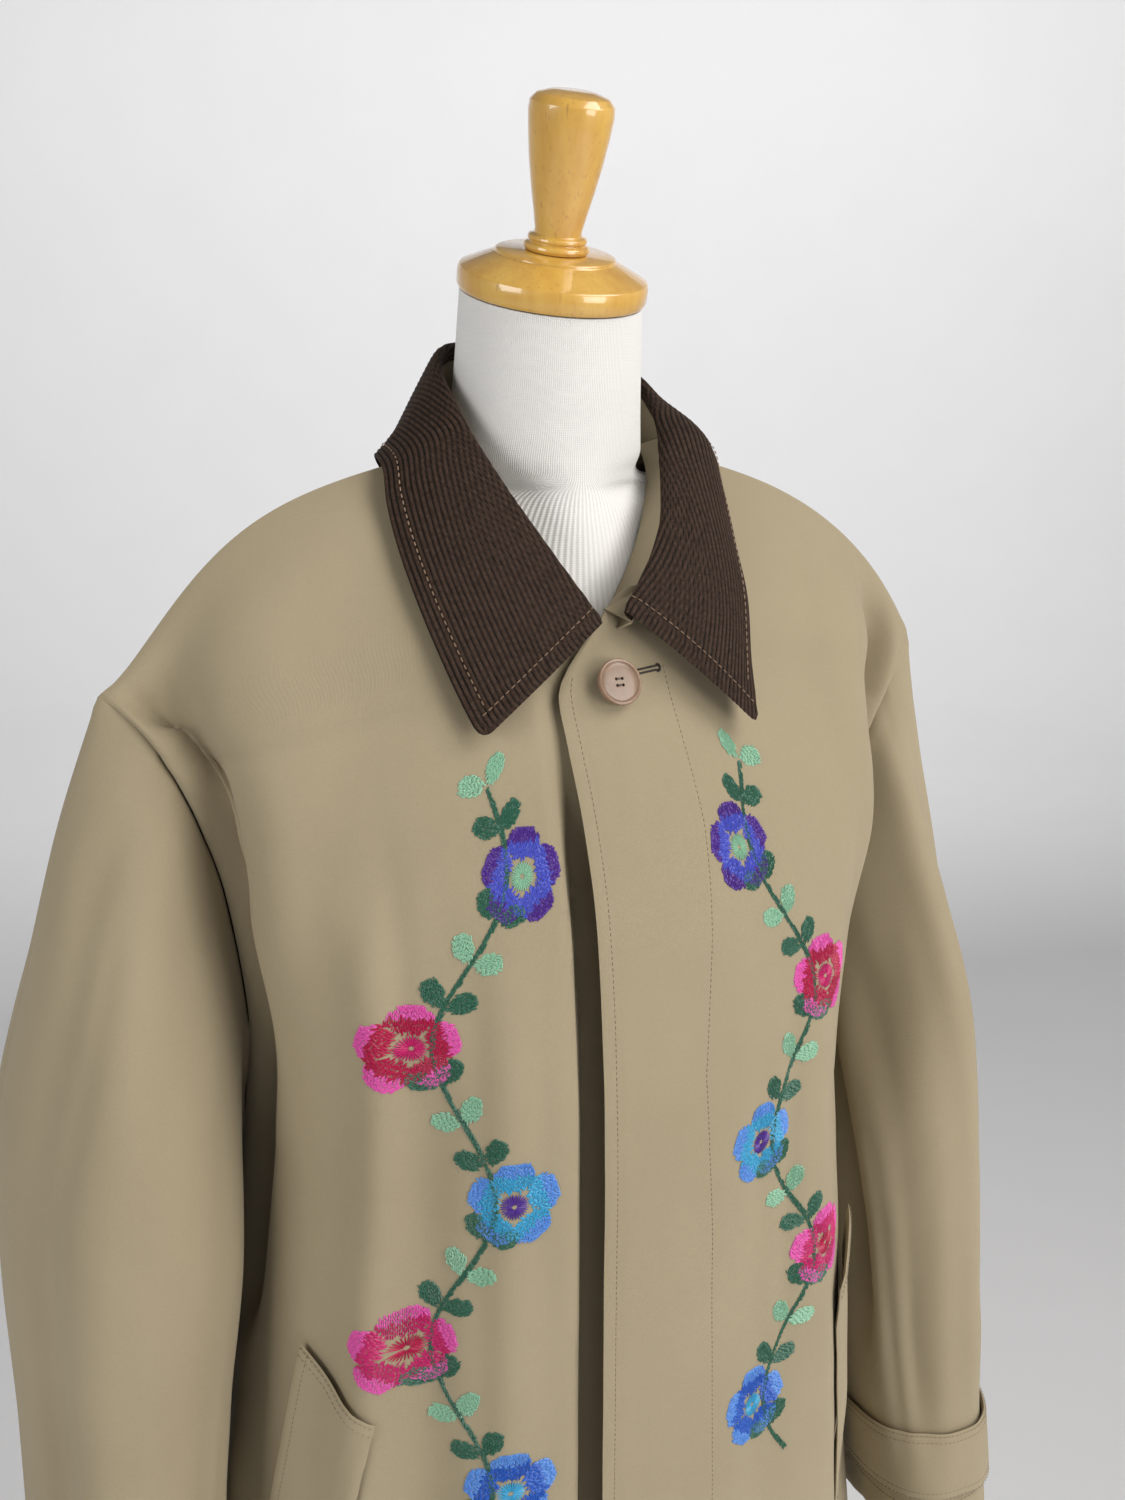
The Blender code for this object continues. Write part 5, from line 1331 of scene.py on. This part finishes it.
def build_tab(side, grids, normals, cloth, horn, thread):
    """Cuff tab: sewn in at the underarm seam, round the front and the outside of the cuff."""
    rows = []
    for share in np.linspace(0.0, 1.0, TAB_ROWS + 1):
        height = TAB_LOW_EDGE + TAB_HEIGHT * share
        run = []
        for piece in ("front", "back"):
            name = f"sleeve_{side}_{piece}"
            places, directions = at_height(grids[name], normals[name], height)
            if np.abs(places[0, 0]) > np.abs(places[-1, 0]):
                places, directions = places[::-1], directions[::-1]
            run.append(np.concatenate([places, directions], axis=1))
        keep = int(len(run[1]) * TAB_BACK_SHARE)
        rows.append(np.concatenate([run[0], run[1][::-1][1:keep]]))
    table = np.array(rows)
    places, directions = table[..., :3], table[..., 3:]
    directions = directions / np.linalg.norm(directions, axis=2, keepdims=True)
    inner = places + directions * TAB_LIFT
    outer = inner + directions * TAB_THICKNESS
    stitches = end_stitches(outer, directions, ("first_row", "last_row"))
    stitches.build(f"tab_stitches_{side}", STITCH_WIDTH, STITCH_HEIGHT, thread)
    outer, inner = rounded(outer, inner, ["first_row", "last_row", "last_column"])
    tab = wall(f"cuff_tab_{side}_cloth", outer, inner, cloth)
    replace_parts(tab, f"cuff_tab_{side}")
    middle = slice(TAB_ROWS // 3, 2 * TAB_ROWS // 3 + 1)
    column = -1 - COLUMN_TIMES // 2
    place = places[middle, column].mean(axis=0)
    direction = directions[middle, column].mean(axis=0)
    surface = place + direction * (TAB_LIFT + TAB_THICKNESS)
    build_button(f"tab_button_{side}", surface, direction, TAB_BUTTON_SCALE, horn, thread)


def build_button(name, surface, direction, scale, material, thread):
    """Four-holed button on a wound shank, with crossed threads over its dished face."""
    turn = Vector(direction).to_track_quat("Z", "Y").to_matrix().to_4x4()
    place = Matrix.Translation(Vector(surface) * CM) @ turn
    raised = place @ Matrix.Translation((0, 0, (THREAD_LENGTH + 2 * BUTTON_GAP) * CM))
    button = turned(f"{name}_horn", BUTTON_PROFILE, material, raised, scale)
    for cutter in hole_cutters(scale):
        cutter.matrix_world = raised @ cutter.matrix_world
        cut = button.modifiers.new("hole", "BOOLEAN")
        cut.object = cutter
        cut.solver = "EXACT"
    apply_and_clear(button)
    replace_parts(button, name)
    shank = [TurnPoint(0.24, THREAD_LENGTH + 0.06), TurnPoint(0.19, 0.22),
             TurnPoint(0.18, 0.10), TurnPoint(0.26, -0.02)]
    wound = turned(f"{name}_shank", shank, thread, place, scale, 24)
    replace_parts(wound, f"{name}_thread")
    offset = HOLE_OFFSET * scale
    top = BUTTON_PROFILE[0].height * scale
    starts, ends = [], []
    for sign in (-1.0, 1.0):
        for slide in (-0.045, 0.0, 0.045):
            starts.append((-offset, sign * offset + slide * scale, top - 0.03))
            ends.append((offset, sign * offset + slide * scale, top - 0.03))
    normals = [(0.0, 0.0, 1.0)] * len(starts)
    strands = stitch_meshes(f"{name}_strands", starts, ends, normals, 0.07, 0.08, thread)
    strands.data.transform(raised)


def hole_cutters(scale):
    cutters = []
    for x in (-1, 1):
        for y in (-1, 1):
            place = (x * HOLE_OFFSET * scale * CM, y * HOLE_OFFSET * scale * CM, 0.003)
            bpy.ops.mesh.primitive_cylinder_add(vertices=20, radius=HOLE_RADIUS * scale * CM,
                                                depth=0.02, location=place)
            cutter = bpy.context.object
            cutter.name = "hole_cutter"
            bpy.context.view_layer.update()
            cutters.append(cutter)
    return cutters


def apply_and_clear(item):
    """Keep the shape that the modifiers give and remove the pieces that cut it."""
    bpy.context.view_layer.update()
    depsgraph = bpy.context.evaluated_depsgraph_get()
    mesh = bpy.data.meshes.new_from_object(item.evaluated_get(depsgraph))
    cutters = [modifier.object for modifier in item.modifiers if modifier.type == "BOOLEAN"]
    item.modifiers.clear()
    item.data = mesh
    for cutter in cutters:
        bpy.data.objects.remove(cutter)


def build_buttonhole(tree, thread):
    """Keyhole buttonhole beside the top button, worked over its edge with close stitches."""
    starts, ends, normals = [], [], []
    for share in np.linspace(0.0, 1.0, BUTTONHOLE_STITCHES):
        for side in (-1.0, 1.0):
            x = BUTTONHOLE_START[0] + BUTTONHOLE_LENGTH * share
            z = BUTTONHOLE_START[1] + 0.12 * share
            for_start = front_point(tree, x, z + side * 0.03)
            for_end = front_point(tree, x + 0.02, z + side * BUTTONHOLE_HALF)
            starts.append(for_start[0] + for_start[1] * 0.01)
            ends.append(for_end[0] + for_end[1] * 0.01)
            normals.append(for_start[1])
    for angle in np.linspace(-1.9, 1.9, 14):
        x = BUTTONHOLE_START[0] + BUTTONHOLE_LENGTH + 0.12
        z = BUTTONHOLE_START[1] + 0.12
        near = front_point(tree, x + 0.06 * math.cos(angle), z + 0.06 * math.sin(angle))
        far = front_point(tree, x + 0.24 * math.cos(angle), z + 0.24 * math.sin(angle))
        starts.append(near[0] + near[1] * 0.01)
        ends.append(far[0] + far[1] * 0.01)
        normals.append(near[1])
    stitch_meshes("buttonhole_stitches", starts, ends, normals, 0.075, 0.06, thread)


def front_point(tree, x, z):
    """Place and normal of the coat in front of (x, z)."""
    place, normal, _, _ = tree.ray_cast(Vector((x, -60.0, z)), Vector((0.0, 1.0, 0.0)))
    return np.array(place), np.array(normal)


# ---- embroidery
def drum_point(tree, across, height):
    """Place on the fronts at a length round the body from the centre and a height."""
    angle = across / DRUM_RADIUS
    away = Vector((math.sin(angle), -math.cos(angle), 0.0))
    origin = away * 60.0 + Vector((0.0, 0.0, height))
    place, normal, _, _ = tree.ray_cast(origin, -away)
    if place is None:
        return None
    if normal.dot(away) < 0:
        normal = -normal
    return np.array(place), np.array(normal)


class Embroidery:
    """Stitches laid in a drawing plane (length round the body, height), gathered by colour."""

    def __init__(self, tree):
        self.tree = tree
        self.random = np.random.default_rng(EMBROIDERY_SEED)
        self.stitches = {}

    def stitch(self, start, end, colour, width=THREAD_WIDTH):
        found = [drum_point(self.tree, *point) for point in (start, end)]
        if None in found:
            return
        if np.linalg.norm(found[0][0] - found[1][0]) > LONGEST_STITCH:
            return
        lift = 0.01 + 0.03 * self.random.random()
        self.stitches.setdefault(colour, []).append(
            (found[0][0] + found[0][1] * lift, found[1][0] + found[1][1] * lift,
             found[0][1] + found[1][1], width))

    def fill(self, spine, half_width, pick_colour):
        """Short stitches along a spine; half_width gives the shape at each share."""
        spine = np.asarray(spine, float)
        steps = np.linalg.norm(np.diff(spine, axis=0), axis=1)
        distance = np.concatenate([[0.0], np.cumsum(steps)])
        total = distance[-1]
        widest = max(half_width(share) for share in np.linspace(0, 1, 21))
        lanes = np.arange(-widest, widest + 1e-6, THREAD_WIDTH * LANE_SHARE)
        phase = noise.noise(Vector((*spine[0], total))) * 10
        for lane in lanes:
            place = self.random.random() * STITCH_RUN
            while place < total:
                share = place / total
                edge = half_width(share) * (1 + EDGE_ROUGHNESS * 3 * noise.noise(
                    Vector((place * 1.6, lane * 1.6, phase))))
                run = STITCH_RUN * (0.7 + 0.6 * self.random.random())
                lean = STITCH_LEAN * (self.random.random() - 0.5)
                if abs(lane) < edge:
                    point = self.along(spine, distance, place)
                    other = self.along(spine, distance, min(place + run, total * 1.03))
                    start = point[0] + point[1] * (lane - lean / 2)
                    end = other[0] + other[1] * (lane + lean / 2)
                    colour = pick_colour(share, start)
                    self.stitch(start, end, colour)
                place += run * 0.85

    @staticmethod
    def along(spine, distance, place):
        point = np.array([np.interp(place, distance, spine[:, axis]) for axis in (0, 1)])
        ahead = np.array([np.interp(place + 0.1, distance, spine[:, axis]) for axis in (0, 1)])
        behind = np.array([np.interp(place - 0.1, distance, spine[:, axis]) for axis in (0, 1)])
        direction = (ahead - behind) / max(np.linalg.norm(ahead - behind), 1e-9)
        return point, np.array([-direction[1], direction[0]])

    def petal(self, centre, angle, colours):
        """Rounded petal of a flower, darker towards the heart."""
        direction = np.array([math.cos(angle), math.sin(angle)])
        spine = [centre + direction * FLOWER_RADIUS * share
                 for share in (PETAL_START, (1 + PETAL_START) / 2, 1.0)]

        def half(share):
            round_end = math.sin(math.pi * min(1.0, 0.10 + 0.86 * share)) ** 0.8
            return PETAL_WIDTH * FLOWER_RADIUS * round_end

        self.fill(spine, half, shaded(colours))

    def flower(self, centre, turn, flower):
        """Open flower: a ring of even petals round a heart of straight stitches."""
        for index in range(FLOWER_PETALS):
            self.petal(centre, turn + index / FLOWER_PETALS * 2 * math.pi, flower.colours)
        for ray in range(HEART_RAYS):
            angle = ray / HEART_RAYS * 2 * math.pi
            direction = np.array([math.cos(angle), math.sin(angle)]) * FLOWER_RADIUS
            self.stitch(centre + direction * HEART_START, centre + direction * HEART_END,
                        flower.heart)

    def leaf(self, start, direction, colour):
        """Small pointed leaf."""
        spine = [start + direction * SPRIG_LENGTH * share for share in (0.0, 0.5, 1.0)]
        width = SPRIG_LENGTH * SPRIG_SHAPE
        self.fill(spine, lambda share: width * math.sin(math.pi * share) ** 0.8 + 0.02,
                  shaded((colour,)))

    def build(self, threads):
        for colour, rows in self.stitches.items():
            starts, ends, normals, widths = (np.array(part) for part in zip(*rows))
            normals = normals / np.linalg.norm(normals, axis=1, keepdims=True)
            item = stitch_meshes(f"embroidery_{colour}", starts, ends, normals, widths,
                                 THREAD_HEIGHT, threads[colour])


def shaded(colours):
    """Chooser of thread colours: one after the other along a shape, interlocked."""
    def pick(share, point):
        value = share + SHADE_MIX * noise.noise(Vector((point[0] * 5.0, point[1] * 5.0, 3.0)))
        return colours[int(np.clip(value * len(colours), 0, len(colours) - 1))]
    return pick


def build_embroidery(tree, threads):
    """The same climbing vine on both fronts, mirrored: leaves in pairs and even flowers."""
    work = Embroidery(tree)
    spacing = (VINE_HIGH - VINE_LOW) / len(FLOWERS)

    def swing(z):
        return -math.sin(math.pi * (z - VINE_LOW) / spacing)

    for mirror in (np.array([-1.0, 1.0]), np.array([1.0, 1.0])):
        def vine(z):
            return np.array([VINE_PLACE + VINE_SWING * swing(z), z]) * mirror

        heights = np.linspace(VINE_LOW, VINE_HIGH, 80)
        work.fill([vine(z) for z in heights], lambda share: VINE_WIDTH, shaded(("green",)))
        flower_heights = VINE_LOW + (np.arange(len(FLOWERS)) + 0.5) * spacing
        for index, z in enumerate(np.arange(VINE_LOW + SPRIG_STEP, VINE_HIGH, SPRIG_STEP)):
            if abs(flower_heights - z).min() < SPRIG_STEP / 2:
                continue
            ahead = vine(z + 0.1) - vine(z - 0.1)
            along = math.atan2(ahead[1], ahead[0])
            for side in (-1.0, 1.0):
                angle = along + side * SPRIG_SPREAD
                direction = np.array([math.cos(angle), math.sin(angle)])
                work.leaf(vine(z), direction, ("green", "mint")[index % 2])
        for index, (z, flower) in enumerate(zip(flower_heights, FLOWERS)):
            centre = vine(z) + np.array([FLOWER_ASIDE * swing(z), 0.0]) * mirror
            work.flower(centre, math.pi / 2, flower)
    work.build(threads)


# ---- materials
def linear(red, green, blue):
    """sRGB out of 255 as the linear values that a shader takes."""
    values = [channel / 255 for channel in (red, green, blue)]
    return tuple(v / 12.92 if v <= 0.04045 else ((v + 0.055) / 1.055) ** 2.4 for v in values)


def new_material(name, colour, sockets):
    material = bpy.data.materials.new(name)
    material.use_nodes = True
    shader = material.node_tree.nodes["Principled BSDF"]
    shader.inputs["Base Color"].default_value = (*colour, 1.0)
    for socket, value in sockets.items():
        shader.inputs[socket].default_value = value
    return material


def add_node(material, kind, inputs=None, **settings):
    """A node with its settings; an input is either a value or a socket to link from."""
    item = material.node_tree.nodes.new(kind)
    for key, value in settings.items():
        setattr(item, key, value)
    for socket, value in (inputs or {}).items():
        if isinstance(value, bpy.types.NodeSocket):
            material.node_tree.links.new(value, item.inputs[socket])
        else:
            item.inputs[socket].default_value = value
    return item


def feed(material, socket, output):
    shader = material.node_tree.nodes["Principled BSDF"]
    material.node_tree.links.new(output, shader.inputs[socket])


def mix_colours(material, factor, first, second):
    """Colour between two, by a factor that is a socket."""
    item = add_node(material, "ShaderNodeMix", data_type="RGBA")
    material.node_tree.links.new(factor, item.inputs["Factor"])
    for socket, value in ((item.inputs[6], first), (item.inputs[7], second)):
        if isinstance(value, bpy.types.NodeSocket):
            material.node_tree.links.new(value, socket)
        else:
            socket.default_value = (*value, 1.0)
    return item.outputs[2]


def ramp(material, factor, low, high):
    item = add_node(material, "ShaderNodeMapRange",
                    {"Value": factor, "From Min": low, "From Max": high})
    item.clamp = True
    return item.outputs["Result"]


def bands(material, vector, direction, pitch, distortion=0.0):
    """Evenly spaced ridges across a direction, at a real pitch in the vector's units."""
    return add_node(material, "ShaderNodeTexWave",
                    {"Vector": vector, "Scale": math.pi / 10 / pitch, "Distortion": distortion},
                    wave_type="BANDS", bands_direction=direction).outputs["Fac"]


def bump(material, height, distance, strength=1.0, normal=None):
    inputs = {"Height": height, "Distance": distance, "Strength": strength}
    if normal is not None:
        inputs["Normal"] = normal
    return add_node(material, "ShaderNodeBump", inputs).outputs["Normal"]


def object_place(material):
    return add_node(material, "ShaderNodeTexCoord").outputs["Object"]


def noise_at(material, vector, scale, detail=3.0, roughness=0.5):
    return add_node(material, "ShaderNodeTexNoise",
                    {"Vector": vector, "Scale": scale, "Detail": detail,
                     "Roughness": roughness}).outputs["Fac"]


def khaki_cotton():
    """Brushed cotton drill: fine diagonal weave, soft sheen, slight shade changes."""
    material = new_material("khaki_cotton_cloth", KHAKI,
                            {"Roughness": 0.78, "Sheen Weight": 0.22, "Sheen Roughness": 0.45,
                             "Sheen Tint": (0.93, 0.88, 0.76, 1.0),
                             "Specular IOR Level": 0.25})
    uv = add_node(material, "ShaderNodeUVMap", uv_map="cloth").outputs["UV"]
    slanted = add_node(material, "ShaderNodeMapping",
                       {"Vector": uv, "Rotation": (0.0, 0.0, math.radians(58))}).outputs[0]
    twill = bands(material, slanted, "X", TWILL_PITCH)
    weft = bands(material, uv, "Y", WEFT_PITCH, 1.2)
    place = object_place(material)
    clouds = ramp(material, noise_at(material, place, 7.0, 4.0), 0.3, 0.7)
    fluff = noise_at(material, place, 900.0, 2.0)
    shaded = mix_colours(material, clouds, KHAKI_DEEP, KHAKI)
    flecked = mix_colours(material, ramp(material, fluff, 0.35, 0.8), shaded, KHAKI_LIGHT)
    woven = mix_colours(material, ramp(material, twill, 0.0, 2.4), shaded, flecked)
    feed(material, "Base Color", woven)
    first = bump(material, twill, 0.00010, 0.55)
    second = bump(material, weft, 0.00006, 0.4, first)
    third = bump(material, noise_at(material, place, 60.0, 3.0), 0.0006, 0.22, second)
    feed(material, "Normal", third)
    return material


def brown_corduroy():
    """Corduroy: light catches the pile on each wale; the furrows between are painted dark as
    shade.
    """
    material = new_material("brown_corduroy_pile", CORDUROY,
                            {"Roughness": 0.85, "Sheen Weight": 0.10, "Sheen Roughness": 0.35,
                             "Sheen Tint": (0.62, 0.48, 0.38, 1.0),
                             "Specular IOR Level": 0.2})
    wale = add_node(material, "ShaderNodeAttribute", attribute_name="wale").outputs["Fac"]
    place = object_place(material)
    pile = noise_at(material, place, 1400.0, 3.0, 0.65)
    tufts = noise_at(material, place, 420.0, 2.0)
    top = mix_colours(material, ramp(material, pile, 0.3, 0.75), CORDUROY, CORDUROY_LIGHT)
    worn = mix_colours(material, ramp(material, tufts, 0.4, 0.7), top, CORDUROY)
    # painted shade: by the wale attribute, the base colour goes nearly black in the furrows
    feed(material, "Base Color",
         mix_colours(material, ramp(material, wale, 0.35, 0.95), CORDUROY_FURROW_SHADE, worn))
    rough = bump(material, pile, 0.0004, 0.6)
    feed(material, "Normal", bump(material, tufts, 0.0006, 0.4, rough))
    return material


def white_jersey():
    """Rib knit: fine ribs up the form, each a column of small loops; the furrows between the ribs
    are painted darker as shade.
    """
    material = new_material("white_rib_jersey", JERSEY,
                            {"Roughness": 0.9, "Sheen Weight": 0.15,
                             "Specular IOR Level": 0.2})
    uv = add_node(material, "ShaderNodeUVMap", uv_map="cloth").outputs["UV"]
    ribs = bands(material, uv, "X", 1.0 / RIB_COUNT)
    loops = bands(material, uv, "Y", LOOP_PITCH, 2.0)
    place = object_place(material)
    cloud = ramp(material, noise_at(material, place, 14.0, 4.0), 0.3, 0.7)
    base = mix_colours(material, cloud, JERSEY, JERSEY_DEEP)
    # painted shade: the furrows between the ribs are darker
    feed(material, "Base Color", mix_colours(material, ramp(material, ribs, 0.0, 0.5),
                                             JERSEY_FURROW_SHADE, base))
    first = bump(material, ribs, 0.00035, 0.8)
    feed(material, "Normal", bump(material, loops, 0.00015, 0.5, first))
    return material


def varnished_wood():
    """Light turned wood with grain along its axis under clear gloss varnish."""
    material = new_material("varnished_maple", WOOD,
                            {"Roughness": 0.32, "Coat Weight": 1.0, "Coat Roughness": 0.05,
                             "Coat IOR": 1.5, "Specular IOR Level": 0.5})
    place = object_place(material)
    grained = add_node(material, "ShaderNodeMapping",
                       {"Vector": place, "Rotation": (-NECK_TILT, 0.0, 0.0),
                        "Scale": (1.0, 1.0, 0.12)}).outputs[0]
    figure = noise_at(material, grained, 70.0, 5.0, 0.6)
    pores = noise_at(material, grained, 600.0, 2.0)
    base = mix_colours(material, ramp(material, figure, 0.3, 0.72), WOOD, WOOD_DEEP)
    feed(material, "Base Color",
         mix_colours(material, ramp(material, pores, 0.62, 0.8), base, WOOD_PORE))
    feed(material, "Normal", bump(material, figure, 0.0003, 0.12))
    return material


def cream_metal():
    """Satin paint on steel, with a faint orange-peel surface."""
    material = new_material("cream_painted_steel", CREAM,
                            {"Roughness": 0.35, "Coat Weight": 0.3, "Coat Roughness": 0.2})
    place = object_place(material)
    scuffs = ramp(material, noise_at(material, place, 30.0, 6.0, 0.7), 0.62, 0.75)
    feed(material, "Base Color", mix_colours(material, scuffs, CREAM, CREAM_SCUFFED))
    feed(material, "Normal", bump(material, noise_at(material, place, 500.0), 0.0002, 0.15))
    return material


def horn_button():
    """Polished, slightly translucent button with cloudy streaks."""
    material = new_material("polished_horn", HORN,
                            {"Roughness": 0.34, "Coat Weight": 0.25, "Coat Roughness": 0.12,
                             "Subsurface Weight": 0.25, "Subsurface Scale": 0.004})
    place = object_place(material)
    streaks = noise_at(material, place, 90.0, 4.0, 0.6)
    feed(material, "Base Color",
         mix_colours(material, ramp(material, streaks, 0.35, 0.7), HORN, HORN_DEEP))
    feed(material, "Normal", bump(material, streaks, 0.0001, 0.1))
    return material


def sewing_thread(name, colour, roughness=0.5, sheen=0.1):
    """Twisted thread: its ply shows as a fine bump and a slight change of shade."""
    material = new_material(name, colour, {"Roughness": roughness, "Sheen Weight": sheen,
                                           "Specular IOR Level": 0.45})
    place = object_place(material)
    ply = noise_at(material, place, 1600.0, 2.0)
    dark = tuple(channel * 0.72 for channel in colour)
    feed(material, "Base Color", mix_colours(material, ramp(material, ply, 0.3, 0.6), dark,
                                             colour))
    feed(material, "Normal", bump(material, ply, 0.0002, 0.5))
    return material


def studio_paper():
    """Matte pale paper of the floor and the backdrop."""
    material = new_material("studio_paper", PAPER, {"Roughness": 0.95,
                                                    "Specular IOR Level": 0.1})
    place = object_place(material)
    mottle = ramp(material, noise_at(material, place, 3.0, 3.0), 0.3, 0.7)
    deeper = tuple(channel * 0.985 for channel in PAPER)
    feed(material, "Base Color", mix_colours(material, mottle, PAPER, deeper))
    return material


# ---- stage, lights and camera
def build_stage():
    """Round floor whose far edge sweeps up into a backdrop on every side."""
    profile = [(0.01, 0.0), (STAGE_FLOOR, 0.0)]
    for step in range(1, 13):
        angle = step / 12 * math.pi / 2
        profile.append((STAGE_FLOOR + STAGE_SWEEP * math.sin(angle),
                        STAGE_SWEEP * (1 - math.cos(angle))))
    profile.append((STAGE_FLOOR + STAGE_SWEEP, STAGE_HEIGHT))
    segments = 96
    points, faces = [], []
    for radius, height in profile:
        points += [(radius * math.cos(a), radius * math.sin(a), height)
                   for a in np.arange(segments) / segments * 2 * math.pi]
    for row in range(len(profile) - 1):
        for column in range(segments):
            here = row * segments + column
            there = row * segments + (column + 1) % segments
            faces.append((here, there, there + segments, here + segments))
    faces.append(list(range(segments)))
    mesh = bpy.data.meshes.new("studio_floor")
    mesh.from_pydata(points, [], faces)
    mesh.shade_smooth()
    mesh.materials.append(studio_paper())
    floor = bpy.data.objects.new("studio_floor", mesh)
    bpy.context.scene.collection.objects.link(floor)


def add_light(light):
    """Square soft light aimed at a point of the coat."""
    data = bpy.data.lights.new(light.name, "AREA")
    data.shape = "RECTANGLE"
    data.size, data.size_y = light.width, light.height
    data.energy = light.watts
    data.color = light.colour
    item = bpy.data.objects.new(light.name, data)
    item.location = light.place
    aim = Vector(light.aim) - Vector(light.place)
    item.rotation_euler = aim.to_track_quat("-Z", "Y").to_euler()
    bpy.context.scene.collection.objects.link(item)


def set_world():
    world = bpy.data.worlds.new("studio")
    world.use_nodes = True
    background = world.node_tree.nodes["Background"]
    background.inputs["Color"].default_value = (*WORLD_COLOUR, 1.0)
    background.inputs["Strength"].default_value = WORLD_STRENGTH
    bpy.context.scene.world = world


def set_view():
    """Plain display colours, without a film curve, as a phone's picture has."""
    view = bpy.context.scene.view_settings
    view.view_transform = "Standard"
    view.look = "None"


def set_camera():
    """Camera from its place, pitch and roll; the long side of the sensor is the height."""
    cosine, sine = math.cos(CAMERA_AZIMUTH), math.sin(CAMERA_AZIMUTH)
    back = Vector((sine, -cosine, 0.0))
    right = Vector((cosine, sine, 0.0))
    forward = -back * math.cos(CAMERA_PITCH) - Vector((0.0, 0.0, math.sin(CAMERA_PITCH)))
    up = right.cross(forward)
    rolled = right * math.cos(CAMERA_ROLL) + up * math.sin(CAMERA_ROLL)
    above = up * math.cos(CAMERA_ROLL) - right * math.sin(CAMERA_ROLL)
    data = bpy.data.cameras.new("photo_camera")
    data.sensor_width = 36.0
    data.sensor_fit = "AUTO"
    data.lens = FOCAL_PIXELS / PHOTO_HEIGHT * data.sensor_width
    data.clip_start = 0.02
    camera = bpy.data.objects.new("photo_camera", data)
    turn = Matrix((rolled, above, -forward)).transposed().to_4x4()
    camera.matrix_world = Matrix.Translation(CAMERA_PLACE) @ turn
    bpy.context.scene.collection.objects.link(camera)
    bpy.context.scene.camera = camera


def main():
    set_camera()
    set_view()
    set_world()
    for light in LIGHTS:
        add_light(light)
    build_stage()

    cloth, corduroy = khaki_cotton(), brown_corduroy()
    horn = horn_button()
    coat_thread = sewing_thread("coat_thread", COAT_THREAD)
    collar_thread = sewing_thread("collar_thread", COLLAR_THREAD)
    dark_thread = sewing_thread("buttonhole_thread", DARK_THREAD)
    threads = {name: sewing_thread(f"thread_{name}", linear(*colour), 0.38, 0.0)
               for name, colour in THREAD_COLOURS.items()}

    grids, normals = build_panels(cloth)
    body = surface_tree([grids["front_left"], grids["front_right"], grids["back"]])
    closed = form_grid()
    build_form(closed, white_jersey())
    build_collar(body, surface_tree([closed[:, ::-1]]), neckline_of(grids, normals), corduroy,
                 cloth, collar_thread)
    build_stand(varnished_wood(), cream_metal())
    for side in ("left", "right"):
        build_welt(side, grids[f"front_{side}"], cloth, coat_thread)
        build_tab(side, grids, normals, cloth, horn, coat_thread)
    upper = surface_tree([grids["front_left"]])
    place, normal, _, _ = upper.find_nearest(Vector(TOP_BUTTON))
    build_button("top_button", place, normal, 1.0, horn, coat_thread)
    build_buttonhole(upper, dark_thread)
    build_coat_stitches(grids, normals, coat_thread)
    fronts = surface_tree([grids["front_left"], grids["front_right"]])
    build_embroidery(fronts, threads)


main()
